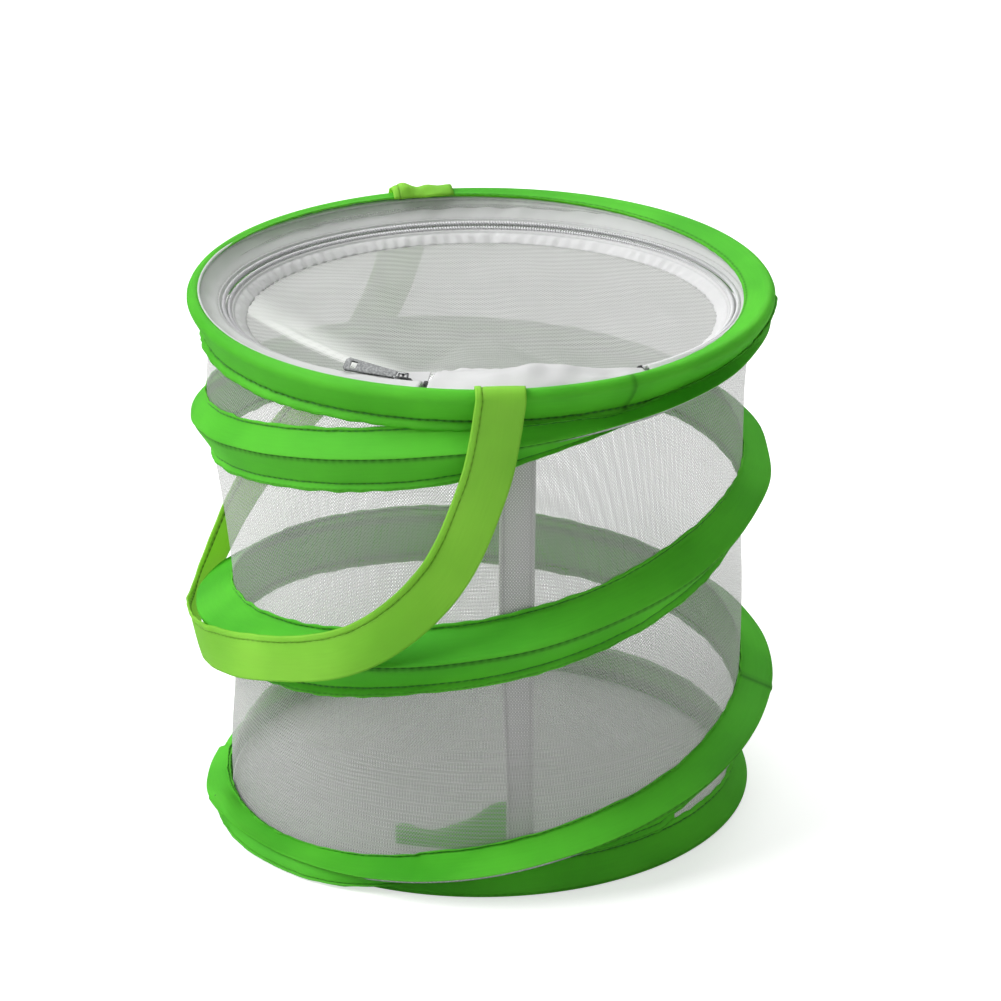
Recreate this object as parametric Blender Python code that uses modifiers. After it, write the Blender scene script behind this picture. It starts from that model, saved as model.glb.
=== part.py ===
# Pop-up insect cage: a net drum between two sprung wire hoops, with a spiral
# spring in a fabric casing, a zipped lid and a long strap handle.
# Metres, +Z up, +X right, -Y towards the front. The drum's axis is the Z axis
# and the cage stands on z = 0.
import math

import bmesh
import bpy
from mathutils import Matrix, Vector

# Sizes of the whole cage
top_diameter = 0.300
bottom_draw_in = 0.0085
cage_height = 0.280

# Cloth, net, wire and the gap left between pieces that touch
casing_thickness = 0.0008
net_thickness = 0.0008
tape_thickness = 0.0006
wire_diameter = 0.0022
sleeve_bore = 0.0028
sleeve_diameter = 0.0035
sleeve_length = 0.016
fold_bore = 0.0044
seat_gap = 0.0003
wire_end_gap = 0.001

# Hoop bindings
rim_width = 0.0108
top_binding_depth = 0.0195
bottom_binding_depth = 0.017
hem_height = 0.004
floor_ledge_width = 0.010
ferrule_facet = 24
fold_angles = (50, 0, -45)

# Net drum: its outside follows the hoops at its ends and draws in between
drum_top_inset = 0.0112
drum_bottom_inset = 0.0085
drum_drop_below_rim = 0.0035
drum_height_shares = (1.0, 0.82, 0.52, 0.0)
drum_spread_shares = (1.0, 0.83, 0.09, 0.0)

# Spiral spring and its casing: quarter turns from the right, clockwise from above
spiral_turns = 2.45
spiral_start_drop = 0.010
spiral_end_rise = 0.006
spiral_end_stand_out = 0.0075
spiral_narrowing_share = 0.9
spiral_fall_shares = (0.0, 0.070, 0.222, 0.282, 0.328, 0.518, 0.631, 0.713, 0.794, 0.970, 1.0)
spiral_upper_width = 0.0145
spiral_lower_width = 0.0195
spiral_end_width = 0.006
spiral_spread_turns = (0.10, 0.28)
spiral_taper_turns = (2.08, 2.26)
spiral_lip = 0.0044
spiral_lip_share = 0.3
spiral_fold_angle = 55
hem_ramp = 0.003
end_cap_length = 0.009
end_cap_overlap = 0.007

# Seam tape and joint patch, inside the drum
seam_angle = math.radians(7.7)
seam_width = 0.0194
seam_end_margin = 0.022
patch_angle = math.radians(-8.5)
patch_width = 0.054
patch_height = 0.026
patch_floor_gap = 0.024

# Zip: its own circle lies tilted under the rim, high at the front
zip_inset = 0.0092
zip_mean_drop = 0.00775
zip_tilt_rise = 0.00475
zip_slope = math.radians(35)
coil_diameter = 0.0024
coil_slot = 0.0010
tape_flat_width = 0.0028
zip_closed_angle = math.radians(12)
zip_open_angle = math.radians(323)
stop_length = 0.002
stop_height = 0.003
stop_edge = 0.0003

# Lid hinge: a straight line across the front, where the lid stays sewn on
hinge_inset = 0.0198
hinge_angle = math.radians(-2)
hinge_drop = 0.0024
hinge_gap = 0.0006
lid_tape_width = 0.0095
lid_hinge_band = 0.0092
lid_hinge_band_drop = 0.005
lid_sag_drop = 0.024
gusset_bump = 0.0016
gusset_stop_turns = 2.4
gusset_shares = (1.0, 0.7, 0.35, 0.0)
lid_net_shares = (1.0, 0.75, 0.5, 0.25)
end_tape_flat_width = 0.0020

# Zip slider and pull tab
slider_angle = math.radians(17)
slider_length = 0.010
slider_width = 0.0080
slider_plate = 0.0008
slider_clearance = 0.0003
slider_web_thickness = 0.0005
slider_web_length = 0.004
slider_inset = 0.0001
slider_flange = 0.0008
slider_flange_length = 0.004
slider_flange_place = 0.12
slider_outline_shares = ((1.0, 0.55), (0.7, 1.0), (-0.2, 1.0), (-1.0, 0.6))
slider_tape_gap = 0.0005
bridge_length = 0.0054
bridge_width = 0.0016
bridge_bar = 0.0008
bridge_height = 0.0030
pin_height = 0.0011
pull_length = 0.030
pull_near_width = 0.0048
pull_far_width = 0.0090
pull_thickness = 0.0010
pull_eye_length = 0.0029
pull_eye_width = 0.0030
pull_slot_length = 0.0030
pull_slot_width = 0.0050
pull_slot_margin = 0.0030
pull_corner_share = 0.35
pull_skew = math.radians(7.5)
pull_pitch = math.radians(5)

# Handle: a flat strap from the front to the back of the top hoop
handle_width = 0.0245
handle_thickness = 0.0015
handle_front_angle = math.radians(-3.8)
handle_back_angle = math.radians(165.3)
handle_drop = 0.186
handle_cage_gap = 0.003
handle_pivot_gap = 0.0011
handle_top_margin = 0.0028
handle_end_depth = 0.016
handle_end_back_lift = 0.004
handle_end_shoulder_share = 0.75
handle_angle_shares = (
    0.0, 0.006, 0.0195, 0.058, 0.1165, 0.188, 0.300, 0.436, 0.555,
    0.614, 0.691, 0.791, 0.904, 0.945, 0.9745, 0.993, 1.0,
)
handle_drop_shares = (
    0.0, 0.1075, 0.253, 0.484, 0.656, 0.769, 0.855, 0.941, 1.0,
    0.989, 0.903, 0.726, 0.527, 0.403, 0.269, 0.118, 0.0,
)
handle_settle_share = 0.14
handle_tuck = 0.0022
handle_lean = math.radians(15)
handle_tuck_shares = (0.38, 0.58)

# Facets
turn_steps = 40
zip_steps = 80
handle_steps = 56
gusset_steps = 16
end_tape_steps = 6
weld_distance = 0.00001
screw_weld_distance = 0.00005
bore_run_out = 1.2

# Values that follow from the sizes
wire_radius = wire_diameter / 2
fold_radius = fold_bore / 2
top_radius = top_diameter / 2
bottom_radius = top_radius - bottom_draw_in
top_wire_radius = top_radius - casing_thickness - fold_radius
bottom_wire_radius = bottom_radius - casing_thickness - fold_radius
top_wire_z = cage_height - casing_thickness - fold_radius
bottom_wire_z = casing_thickness + fold_radius
rim_inner_radius = top_radius - rim_width
drum_top_radius = top_radius - drum_top_inset
drum_bottom_radius = bottom_radius - drum_bottom_inset
drum_bottom_z = casing_thickness + seat_gap
drum_top_z = top_wire_z - drum_drop_below_rim
top_hem_radius = drum_top_radius + seat_gap
bottom_hem_radius = drum_bottom_radius + seat_gap
top_hem_z = top_wire_z - top_binding_depth
bottom_hem_z = bottom_wire_z + bottom_binding_depth
zip_radius = rim_inner_radius - zip_inset
hinge_distance = zip_radius - hinge_inset
zip_centre = Vector((0, 0, top_wire_z - zip_mean_drop))
zip_tilt = math.asin(zip_tilt_rise / zip_radius)
zip_frame = Matrix.Translation(zip_centre) @ Matrix.Rotation(-zip_tilt, 4, "X")
coil_radius = coil_diameter / 2
coil_offset = coil_slot / 2 + coil_radius
tape_start = coil_offset + coil_radius + seat_gap
hinge_z = top_wire_z - hinge_drop
front = -math.pi / 2

for old in list(bpy.data.objects):
    bpy.data.objects.remove(old)


def collection_named(name):
    group = bpy.data.collections.new(name)
    bpy.context.scene.collection.children.link(group)
    return group


cage_parts = collection_named("insect_cage")
cutters = collection_named("cutters")


# Materials
def finish(name, colour, roughness, metallic=0.0, alpha=1.0):
    material = bpy.data.materials.new(name)
    material.use_nodes = True
    shader = material.node_tree.nodes["Principled BSDF"]
    shader.inputs["Base Color"].default_value = (*colour, 1)
    shader.inputs["Roughness"].default_value = roughness
    shader.inputs["Metallic"].default_value = metallic
    shader.inputs["Alpha"].default_value = alpha
    return material


green_cloth = finish("green_cloth", (0.10, 0.45, 0.03), 0.6)
strap_cloth = finish("strap_cloth", (0.28, 0.62, 0.05), 0.6)
white_net = finish("white_net", (0.80, 0.80, 0.80), 0.8, alpha=0.35)
white_tape = finish("white_tape", (0.82, 0.82, 0.82), 0.7)
white_coil = finish("white_coil", (0.70, 0.70, 0.70), 0.4)
spring_steel = finish("spring_steel", (0.45, 0.46, 0.47), 0.3, metallic=1.0)
zip_metal = finish("zip_metal", (0.35, 0.36, 0.36), 0.35, metallic=1.0)
cap_plastic = finish("cap_plastic", (0.05, 0.05, 0.05), 0.5)


# Curves and lofts
def polar(radius, angle, z):
    return Vector((radius * math.cos(angle), radius * math.sin(angle), z))


def on_facet(radius, angle, z):
    """A point on a facet of a ring whose corners lie on the radius."""
    half = math.pi / turn_steps
    inset = math.cos(half) / math.cos(angle % (2 * half) - half)
    return polar(radius * inset, angle, z)


def smooth(share):
    share = min(1.0, max(0.0, share))
    return share * share * (3 - 2 * share)


def mix(first, second, share):
    return first + (second - first) * share


def through(values, places, place):
    """A smooth curve through values given at rising places."""
    last = len(places) - 1
    step = max(k for k in range(last) if places[k] <= place or k == 0)
    width = places[step + 1] - places[step]
    share = (place - places[step]) / width

    def slope(k):
        low, high = max(k - 1, 0), min(k + 1, last)
        return (values[high] - values[low]) / (places[high] - places[low])

    a, b = values[step], values[step + 1]
    ta, tb = slope(step) * width, slope(step + 1) * width
    s2, s3 = share * share, share * share * share
    return (2 * s3 - 3 * s2 + 1) * a + (s3 - 2 * s2 + share) * ta + (3 * s2 - 2 * s3) * b + (s3 - s2) * tb


def straight(values, places, place):
    """Straight runs through values given at falling places."""
    for k in range(len(places) - 1):
        if place >= places[k + 1] or k == len(places) - 2:
            share = (place - places[k + 1]) / (places[k] - places[k + 1])
            return mix(values[k + 1], values[k], share)


def keep(obj, material, smooth_angle=35):
    obj.data.materials.append(material)
    obj.data.shade_smooth()
    obj.data.set_sharp_from_angle(angle=math.radians(smooth_angle))
    return obj


def new_object(name, mesh, group=None):
    obj = bpy.data.objects.new(name, mesh)
    (group or cage_parts).objects.link(obj)
    return obj


def sheet_mesh(name, rows, closed=False):
    """A sheet through rows of points; its outer face is on the right of each row, seen from row to row."""
    mesh = bpy.data.meshes.new(name)
    count = len(rows[0])
    points = [point for row in rows for point in row]
    faces = []
    for r in range(len(rows) if closed else len(rows) - 1):
        a, b = r * count, (r + 1) % len(rows) * count
        for c in range(count - 1):
            faces.append((a + c, a + c + 1, b + c + 1, b + c))
    mesh.from_pydata(points, [], faces)
    return mesh


def thicken(obj, thickness, side):
    wall = obj.modifiers.new("thickness", "SOLIDIFY")
    wall.thickness = thickness
    wall.offset = side
    wall.use_even_offset = True
    return obj


def cloth(name, rows, thickness, side, material, closed=False):
    obj = new_object(name, sheet_mesh(name, rows, closed))
    thicken(obj, thickness, side)
    return keep(obj, material)


def turned_shell(name, profile, thickness, side, material):
    """A profile in the XZ plane turned about the drum's axis and given its thickness."""
    mesh = bpy.data.meshes.new(name)
    points = [(r, 0, z) for r, z in profile]
    mesh.from_pydata(points, [(k, k + 1) for k in range(len(points) - 1)], [])
    obj = new_object(name, mesh)
    turn = obj.modifiers.new("turn", "SCREW")
    turn.steps = turn_steps
    turn.render_steps = turn_steps
    turn.use_merge_vertices = True
    turn.merge_threshold = screw_weld_distance
    thicken(obj, thickness, side)
    return keep(obj, material)


def tube(name, points, radius, material=None, closed=False, group=None, as_mesh=False):
    curve = bpy.data.curves.new(name, "CURVE")
    curve.dimensions = "3D"
    curve.bevel_depth = radius
    curve.bevel_resolution = 2
    curve.use_fill_caps = not closed
    spline = curve.splines.new("POLY")
    spline.points.add(len(points) - 1)
    for place, point in zip(spline.points, points):
        place.co = (*point, 1)
    spline.use_cyclic_u = closed
    obj = new_object(name, curve, group)
    if as_mesh:
        bpy.context.view_layer.update()
        graph = bpy.context.evaluated_depsgraph_get()
        mesh = bpy.data.meshes.new_from_object(obj.evaluated_get(graph))
        work = bmesh.new()
        work.from_mesh(mesh)
        bmesh.ops.remove_doubles(work, verts=work.verts, dist=weld_distance)
        bmesh.ops.recalc_face_normals(work, faces=work.faces)
        work.to_mesh(mesh)
        work.free()
        bpy.data.objects.remove(obj)
        obj = new_object(name, mesh, group)
    if material:
        obj.data.materials.append(material)
    return obj


def cutter(obj):
    obj.hide_render = True
    obj.display_type = "WIRE"
    return obj


def combine(obj, other, operation):
    step = obj.modifiers.new(other.name, "BOOLEAN")
    step.operation = operation
    step.object = cutter(other)
    step.solver = "EXACT"
    return obj


def block(name, size, place, group=cutters):
    mesh = bpy.data.meshes.new(name)
    work = bmesh.new()
    bmesh.ops.create_cube(work, size=1)
    bmesh.ops.scale(work, vec=size, verts=work.verts)
    bmesh.ops.translate(work, vec=place, verts=work.verts)
    work.to_mesh(mesh)
    work.free()
    return new_object(name, mesh, group)


def sleeve(name, path, bore_path, material):
    """A crimped sleeve along a path, bored along another."""
    outside = tube(name, path, sleeve_diameter / 2, as_mesh=True)
    bore = tube(name + "_bore", bore_path, sleeve_bore / 2, group=cutters, as_mesh=True)
    combine(outside, bore, "DIFFERENCE")
    return keep(outside, material)


# Shape of the drum and of the two hoop bindings
drum_heights = [mix(drum_bottom_z, drum_top_z, share) for share in drum_height_shares]
drum_radii = [mix(drum_bottom_radius, drum_top_radius, share) for share in drum_spread_shares]


def drum_radius(z):
    return straight(drum_radii, drum_heights, min(drum_top_z, max(drum_bottom_z, z)))


def fold_arc(radius, z, angles):
    turns = [math.radians(angle) for angle in angles]
    return [(radius + fold_radius * math.cos(a), z + fold_radius * math.sin(a)) for a in turns]


top_profile = [
    (rim_inner_radius, top_wire_z + fold_radius),
    (top_wire_radius, top_wire_z + fold_radius),
    *fold_arc(top_wire_radius, top_wire_z, fold_angles),
    (top_hem_radius, top_hem_z + hem_height),
    (top_hem_radius, top_hem_z),
]
bottom_profile = [
    (bottom_hem_radius, bottom_hem_z),
    (bottom_hem_radius, bottom_hem_z - hem_height),
    *fold_arc(bottom_wire_radius, bottom_wire_z, [-a for a in reversed(fold_angles)]),
    (bottom_wire_radius, bottom_wire_z - fold_radius),
    (bottom_radius - floor_ledge_width, bottom_wire_z - fold_radius),
]


def face_radius(profile, fold_point, hem_point, z):
    """The outside of a hoop binding's sloping face at a height."""
    (r0, z0), (r1, z1) = profile[fold_point], profile[hem_point]
    slant = math.hypot(r1 - r0, z1 - z0) / abs(z1 - z0)
    inner = mix(r0, r1, (z - z0) / (z1 - z0))
    hem_radius = top_hem_radius if z0 > z1 else bottom_hem_radius
    return max(inner, hem_radius) + (casing_thickness + seat_gap) * slant


def foot_radius(z):
    """Where a hem of the spiral casing lies: on the drum, or on a hoop binding where it meets one."""
    top_lift = smooth((z - (top_hem_z - hem_ramp)) / (hem_ramp / 2))
    bottom_lift = smooth(((bottom_hem_z + hem_ramp) - z) / (hem_ramp / 2))
    if z > top_hem_z:
        return face_radius(top_profile, 4, 5, z)
    if z < bottom_hem_z:
        return face_radius(bottom_profile, 2, 1, z)
    on_drum = drum_radius(z) + seat_gap
    on_hem = max(top_lift, bottom_lift) * (casing_thickness + seat_gap)
    return on_drum + on_hem


# Hoop wires, ferrules and bindings
def hoop(name, radius, z):
    """A ring of wire, its two ends held in a ferrule in the middle of one facet."""
    facet = math.tau / turn_steps
    joint = facet * (ferrule_facet + 0.5)
    opening = wire_end_gap / radius / 2
    corners = [facet * (ferrule_facet + 1 + k) for k in range(turn_steps)]
    places = [joint + opening, *corners, joint + math.tau - opening]
    tube(name + "_wire", [on_facet(radius, a, z) for a in places], wire_radius, spring_steel)
    half = sleeve_length / 2 / radius
    path = [on_facet(radius, joint + half * side, z) for side in (-1, 1)]
    bore = [on_facet(radius, joint + half * side * bore_run_out, z) for side in (-1, 1)]
    sleeve(name + "_ferrule", path, bore, zip_metal)


hoop("top_hoop", top_wire_radius, top_wire_z)
hoop("bottom_hoop", bottom_wire_radius, bottom_wire_z)
turned_shell("top_binding", top_profile, casing_thickness, 1, green_cloth)
turned_shell("bottom_binding", bottom_profile, casing_thickness, 1, green_cloth)


# Floor panel and net drum
def floor_panel():
    mesh = bpy.data.meshes.new("floor_panel")
    work = bmesh.new()
    radius = bottom_radius - floor_ledge_width - seat_gap
    bmesh.ops.create_cone(
        work, cap_ends=True, segments=turn_steps, radius1=radius, radius2=radius, depth=casing_thickness
    )
    bmesh.ops.translate(work, vec=(0, 0, casing_thickness / 2), verts=work.verts)
    work.to_mesh(mesh)
    work.free()
    keep(new_object("floor_panel", mesh), white_tape)


floor_panel()
turned_shell("net_wall", list(zip(drum_radii, drum_heights)), net_thickness, -1, white_net)


# Seam tape and joint patch, flat against the inside of the drum's facets
def on_drum(name, centre, width, low, high, material):
    half = width / 2 / drum_top_radius
    facet = math.tau / turn_steps
    first, last = front + centre - half, front + centre + half
    corners = [facet * k for k in range(-turn_steps, turn_steps) if first < facet * k < last]
    angles = [first, *corners, last]
    inset = net_thickness + seat_gap
    levels = [high, *[z for z in drum_heights if low < z < high], low]
    rows = []
    for a in angles:
        rows.append([on_facet(drum_radius(z) - inset, a, z) for z in levels])
    cloth(name, rows, tape_thickness, -1, material)


on_drum("seam_tape", seam_angle, seam_width, seam_end_margin, cage_height - seam_end_margin, white_tape)
on_drum("joint_patch", patch_angle, patch_width, patch_floor_gap, patch_floor_gap + patch_height, green_cloth)


# Spiral spring
spiral_start_z = top_wire_z - spiral_start_drop
spiral_end_z = bottom_wire_z + spiral_end_rise
spiral_places = [min(k / 4, spiral_turns) for k in range(len(spiral_fall_shares))]


def spiral_z(turn):
    return mix(spiral_start_z, spiral_end_z, through(spiral_fall_shares, spiral_places, turn))


def spiral_wire_radius(turn):
    start = spiral_turns * spiral_narrowing_share
    drawn_in = smooth((turn - start) / (spiral_turns - start))
    return mix(top_wire_radius, bottom_wire_radius + spiral_end_stand_out, drawn_in)


spiral_steps = round(spiral_turns * turn_steps)
spiral_stops = [spiral_turns * k / spiral_steps for k in range(spiral_steps + 1)]
spiral_corners = [polar(spiral_wire_radius(t), -math.tau * t, spiral_z(t)) for t in spiral_stops]


def spiral_point(turn):
    """A point of the wire, straight from corner to corner."""
    step = min(spiral_steps - 1, max(0, math.floor(turn * turn_steps)))
    return spiral_corners[step].lerp(spiral_corners[step + 1], turn * turn_steps - step)


cap_turn = end_cap_length / (math.tau * top_wire_radius)
overlap_turn = end_cap_overlap / (math.tau * top_wire_radius)
wire_first = cap_turn - overlap_turn + wire_end_gap / (math.tau * top_wire_radius)
wire_last = spiral_turns - wire_first
wire_stops = [wire_first, *[t for t in spiral_stops if wire_first < t < wire_last], wire_last]
tube("spiral_wire", [spiral_point(t) for t in wire_stops], wire_radius, spring_steel)


def end_cap(name, first, last, wire_side):
    """A blind plastic cap over one end of the spiral wire."""
    mouth, blind = mix(first, last, wire_side), mix(last, first, wire_side)
    depth = overlap_turn / cap_turn
    path = [spiral_point(first), spiral_point(last)]
    bore = [spiral_point(mix(mouth, blind, depth)), spiral_point(mix(mouth, blind, -depth / 2))]
    sleeve(name, path, bore, cap_plastic)


end_cap("spiral_cap_top", 0.0, cap_turn, 1)
end_cap("spiral_cap_bottom", spiral_turns - cap_turn, spiral_turns, 0)


# Casing of the spiral: a folded strip with a hem on the drum above and below the wire
def between(places, place):
    """How far a place has come, eased, from the first of two places to the second."""
    first, last = places
    return smooth((place - first) / (last - first))


def casing_row(turn):
    radius, z = spiral_wire_radius(turn), spiral_z(turn)
    stack = casing_thickness + seat_gap
    above = mix(spiral_upper_width, spiral_end_width, between(spiral_taper_turns, turn))
    below = mix(spiral_lip, spiral_lower_width, between(spiral_spread_turns, turn))
    upper = min(z + above, max(top_hem_z - stack, z + spiral_lip))
    upper = max(upper, bottom_hem_z + hem_ramp / 2)
    lower = max(z - below, min(bottom_hem_z + stack, z - spiral_lip))
    row = []
    sides = ((upper, 1, above, spiral_upper_width), (lower, -1, below, spiral_lower_width))
    for foot, side, reach, width in sides:
        open_share = (min(reach, abs(foot - z)) - spiral_lip) / (width - spiral_lip)
        fold = fold_arc(radius, z, (spiral_fold_angle * side,))[0]
        near = (mix(foot_radius(foot), fold[0], spiral_lip_share), mix(foot, fold[1], spiral_lip_share))
        hem = (drum_radius(foot) + seat_gap, foot - side * hem_height)
        knee = (mix(near[0], hem[0], open_share), mix(near[1], hem[1], open_share))
        row.append([(foot_radius(foot), foot), knee, fold])
    ridge = (radius + fold_radius, z)
    outline = [*row[0], ridge, *reversed(row[1])]
    return [polar(r, -math.tau * turn, height) for r, height in outline]


casing_rows = [casing_row(t) for t in reversed(spiral_stops)]
cloth("spiral_binding", casing_rows, casing_thickness, 1, green_cloth)


# Zip track: angles run clockwise from the front, seen from above
def track_point(angle, across, up=0.0):
    """A point beside the zip: across is up the slope towards the rim, up is off the slope."""
    radius = zip_radius + across * math.cos(zip_slope) - up * math.sin(zip_slope)
    height = across * math.sin(zip_slope) + up * math.cos(zip_slope)
    return zip_frame @ polar(radius, front - angle, height)


def angles_between(first, last):
    step = math.tau / zip_steps
    inner = [step * k for k in range(zip_steps * 2) if first + step / 4 < step * k < last - step / 4]
    return [first, *inner, last]


hinge_half = math.acos(hinge_distance / zip_radius)
lid_first = hinge_angle + hinge_half
lid_last = math.tau + hinge_angle - hinge_half
joint_margin = seat_gap / zip_radius
outer_angles = angles_between(zip_closed_angle, zip_open_angle)
lid_angles = angles_between(lid_first + joint_margin, lid_last - joint_margin)
end_angles = angles_between(zip_closed_angle, lid_first - joint_margin)


def outer_tape_row(angle):
    rim = polar(rim_inner_radius - seat_gap - tape_thickness, front - angle, top_wire_z + wire_radius)
    return [rim, track_point(angle, tape_start + tape_flat_width), track_point(angle, tape_start)]


cloth("zip_outer_tape", [outer_tape_row(a) for a in reversed(outer_angles)], tape_thickness, 1, white_tape)
tube("zip_outer_coil", [track_point(a, coil_offset) for a in outer_angles], coil_radius, white_coil)
tube("zip_inner_coil", [track_point(a, -coil_offset) for a in lid_angles], coil_radius, white_coil)
tube("zip_inner_coil_end", [track_point(a, -coil_offset) for a in end_angles], coil_radius, white_coil)


# Zip stops, each pinched on at one end of the track
def stop(name, angle, low, high):
    width = high - low
    obj = block(name, (stop_length, width, stop_height), (0, low + width / 2, 0), cage_parts)
    edge = obj.modifiers.new("edge", "BEVEL")
    edge.width = stop_edge
    edge.segments = 1
    obj.data.transform(track_frame(angle))
    keep(obj, zip_metal)


def track_frame(angle):
    """X runs on along the zip clockwise, Y up the slope to the rim and Z off the slope."""
    origin = track_point(angle, 0)
    across = (track_point(angle, tape_start) - origin).normalized()
    up = (track_point(angle, 0, tape_start) - origin).normalized()
    along = across.cross(up)
    frame = Matrix((along, across, up)).transposed().to_4x4()
    frame.translation = origin
    return frame


stop_turn = (stop_length / 2 + seat_gap) / zip_radius
stop("zip_stop_closed", zip_closed_angle - stop_turn, -tape_start, tape_start)
stop("zip_stop_open", zip_open_angle + stop_turn, coil_slot / 2, tape_start)


# Lid: everything below runs round the drum's axis, cut straight along the hinge
def from_hinge(angle):
    off = (angle - hinge_angle + math.pi) % math.tau - math.pi
    return off, math.cos(off)


def lid_point(angle, across, hinge_offset, hinge_level):
    """A point of the lid's edge: on the zip's cone, or on a line beside the hinge."""
    off, share = from_hinge(angle)
    radius = zip_radius + across * math.cos(zip_slope)
    line = hinge_distance - hinge_offset
    if share <= 0 or line / share >= radius:
        return track_point(angle, across)
    cone = track_point(angle, (line / share - zip_radius) / math.cos(zip_slope))
    raised = smooth(1 - (off / math.acos(line / radius)) ** 2)
    return polar(line / share, front - angle, mix(cone.z, hinge_level, raised))


lid_round = [math.tau * k / zip_steps for k in range(zip_steps)]
lid_edge_across = -tape_start - lid_tape_width


def lid_tape_row(angle):
    outer = lid_point(angle, -tape_start, hinge_gap, hinge_z - seat_gap)
    inner = lid_point(angle, lid_edge_across, lid_hinge_band, top_wire_z - lid_hinge_band_drop)
    return [outer, inner]


lid_tape_rows = [lid_tape_row(a) for a in reversed(lid_round)]
cloth("lid_edge_tape", lid_tape_rows, tape_thickness, 1, white_tape, closed=True)


def lid_net():
    """The lid's net, sagging from the edge tape to the middle."""
    across = lid_edge_across - seat_gap
    band = lid_hinge_band + seat_gap
    level = top_wire_z - lid_hinge_band_drop
    middle_z = top_wire_z - lid_sag_drop
    rows = []
    for angle in reversed(lid_round[::2]):
        edge = lid_point(angle, across, band, level)
        rows.append([Vector((edge.x * s, edge.y * s, mix(middle_z, edge.z, s * s))) for s in lid_net_shares])
    mesh = sheet_mesh("lid_net", rows, closed=True)
    work = bmesh.new()
    work.from_mesh(mesh)
    inmost = {len(lid_net_shares) * (k + 1) - 1 for k in range(len(rows))}
    work.edges.ensure_lookup_table()
    hole = [edge for edge in work.edges if inmost.issuperset(v.index for v in edge.verts)]
    bmesh.ops.holes_fill(work, edges=hole, sides=0)
    bmesh.ops.recalc_face_normals(work, faces=work.faces)
    work.to_mesh(mesh)
    work.free()
    obj = new_object("lid_net", mesh)
    thicken(obj, net_thickness, -1)
    keep(obj, white_net)


lid_net()


# Gusset between the hinge and the hoop, and the tape that ends the fixed stretch of zip
def hinge_line_point(angle):
    off, share = from_hinge(angle)
    return polar((hinge_distance + hinge_gap) / share, front - angle, hinge_z)


def gusset_rows():
    first = zip_open_angle - math.tau + gusset_stop_turns * stop_turn
    last = zip_closed_angle - gusset_stop_turns * stop_turn
    rows = []
    for k in range(gusset_steps + 1):
        angle = mix(first, last, k / gusset_steps)
        inner = hinge_line_point(angle)
        outer = polar(rim_inner_radius - 2 * seat_gap, front - angle, top_wire_z + wire_radius)
        row = []
        for share in gusset_shares:
            point = inner.lerp(outer, share)
            point.z += gusset_bump * math.sin(math.pi * share)
            row.append(point)
        rows.append(row)
    return list(reversed(rows))


cloth("lid_gusset", gusset_rows(), tape_thickness, 1, white_tape)


def end_tape_rows():
    folded = tape_start + end_tape_flat_width
    reach = zip_radius - folded * math.cos(zip_slope)
    first = zip_closed_angle
    last = hinge_angle + math.acos((hinge_distance + 2 * hinge_gap) / reach)
    rows = []
    for k in range(end_tape_steps + 1):
        angle = mix(first, last, k / end_tape_steps)
        rows.append([track_point(angle, -tape_start), track_point(angle, -folded), hinge_line_point(angle)])
    return list(reversed(rows))


cloth("zip_end_tape", end_tape_rows(), tape_thickness, 1, white_tape)


# Zip slider, built in its own axes: X along the zip, Y across it, Z off the slope
def plate(name, z, group):
    """A shield outline, wide at the nose and rounded at the tail."""
    half_length, half_width = slider_length / 2, slider_width / 2
    side = [(half_length * x, half_width * y) for x, y in slider_outline_shares]
    outline = [*side, *[(x, -y) for x, y in reversed(side)]]
    return extruded(name, outline, z, slider_plate, group)


def extruded(name, outline, z, thickness, group, holes=()):
    curve = bpy.data.curves.new(name, "CURVE")
    curve.dimensions = "2D"
    curve.fill_mode = "BOTH"
    curve.extrude = thickness / 2
    for ring in (outline, *holes):
        spline = curve.splines.new("POLY")
        spline.points.add(len(ring) - 1)
        for place, (x, y) in zip(spline.points, ring):
            place.co = (x, y, z, 1)
        spline.use_cyclic_u = True
    obj = new_object(name, curve, group)
    bpy.context.view_layer.update()
    mesh = bpy.data.meshes.new_from_object(obj.evaluated_get(bpy.context.evaluated_depsgraph_get()))
    work = bmesh.new()
    work.from_mesh(mesh)
    middle = sum(v.co.z for v in work.verts) / len(work.verts)
    bmesh.ops.translate(work, vec=(0, 0, z - middle), verts=work.verts)
    bmesh.ops.remove_doubles(work, verts=work.verts, dist=weld_distance)
    bmesh.ops.recalc_face_normals(work, faces=work.faces)
    work.to_mesh(mesh)
    work.free()
    bpy.data.objects.remove(obj)
    return new_object(name, mesh, group)


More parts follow.
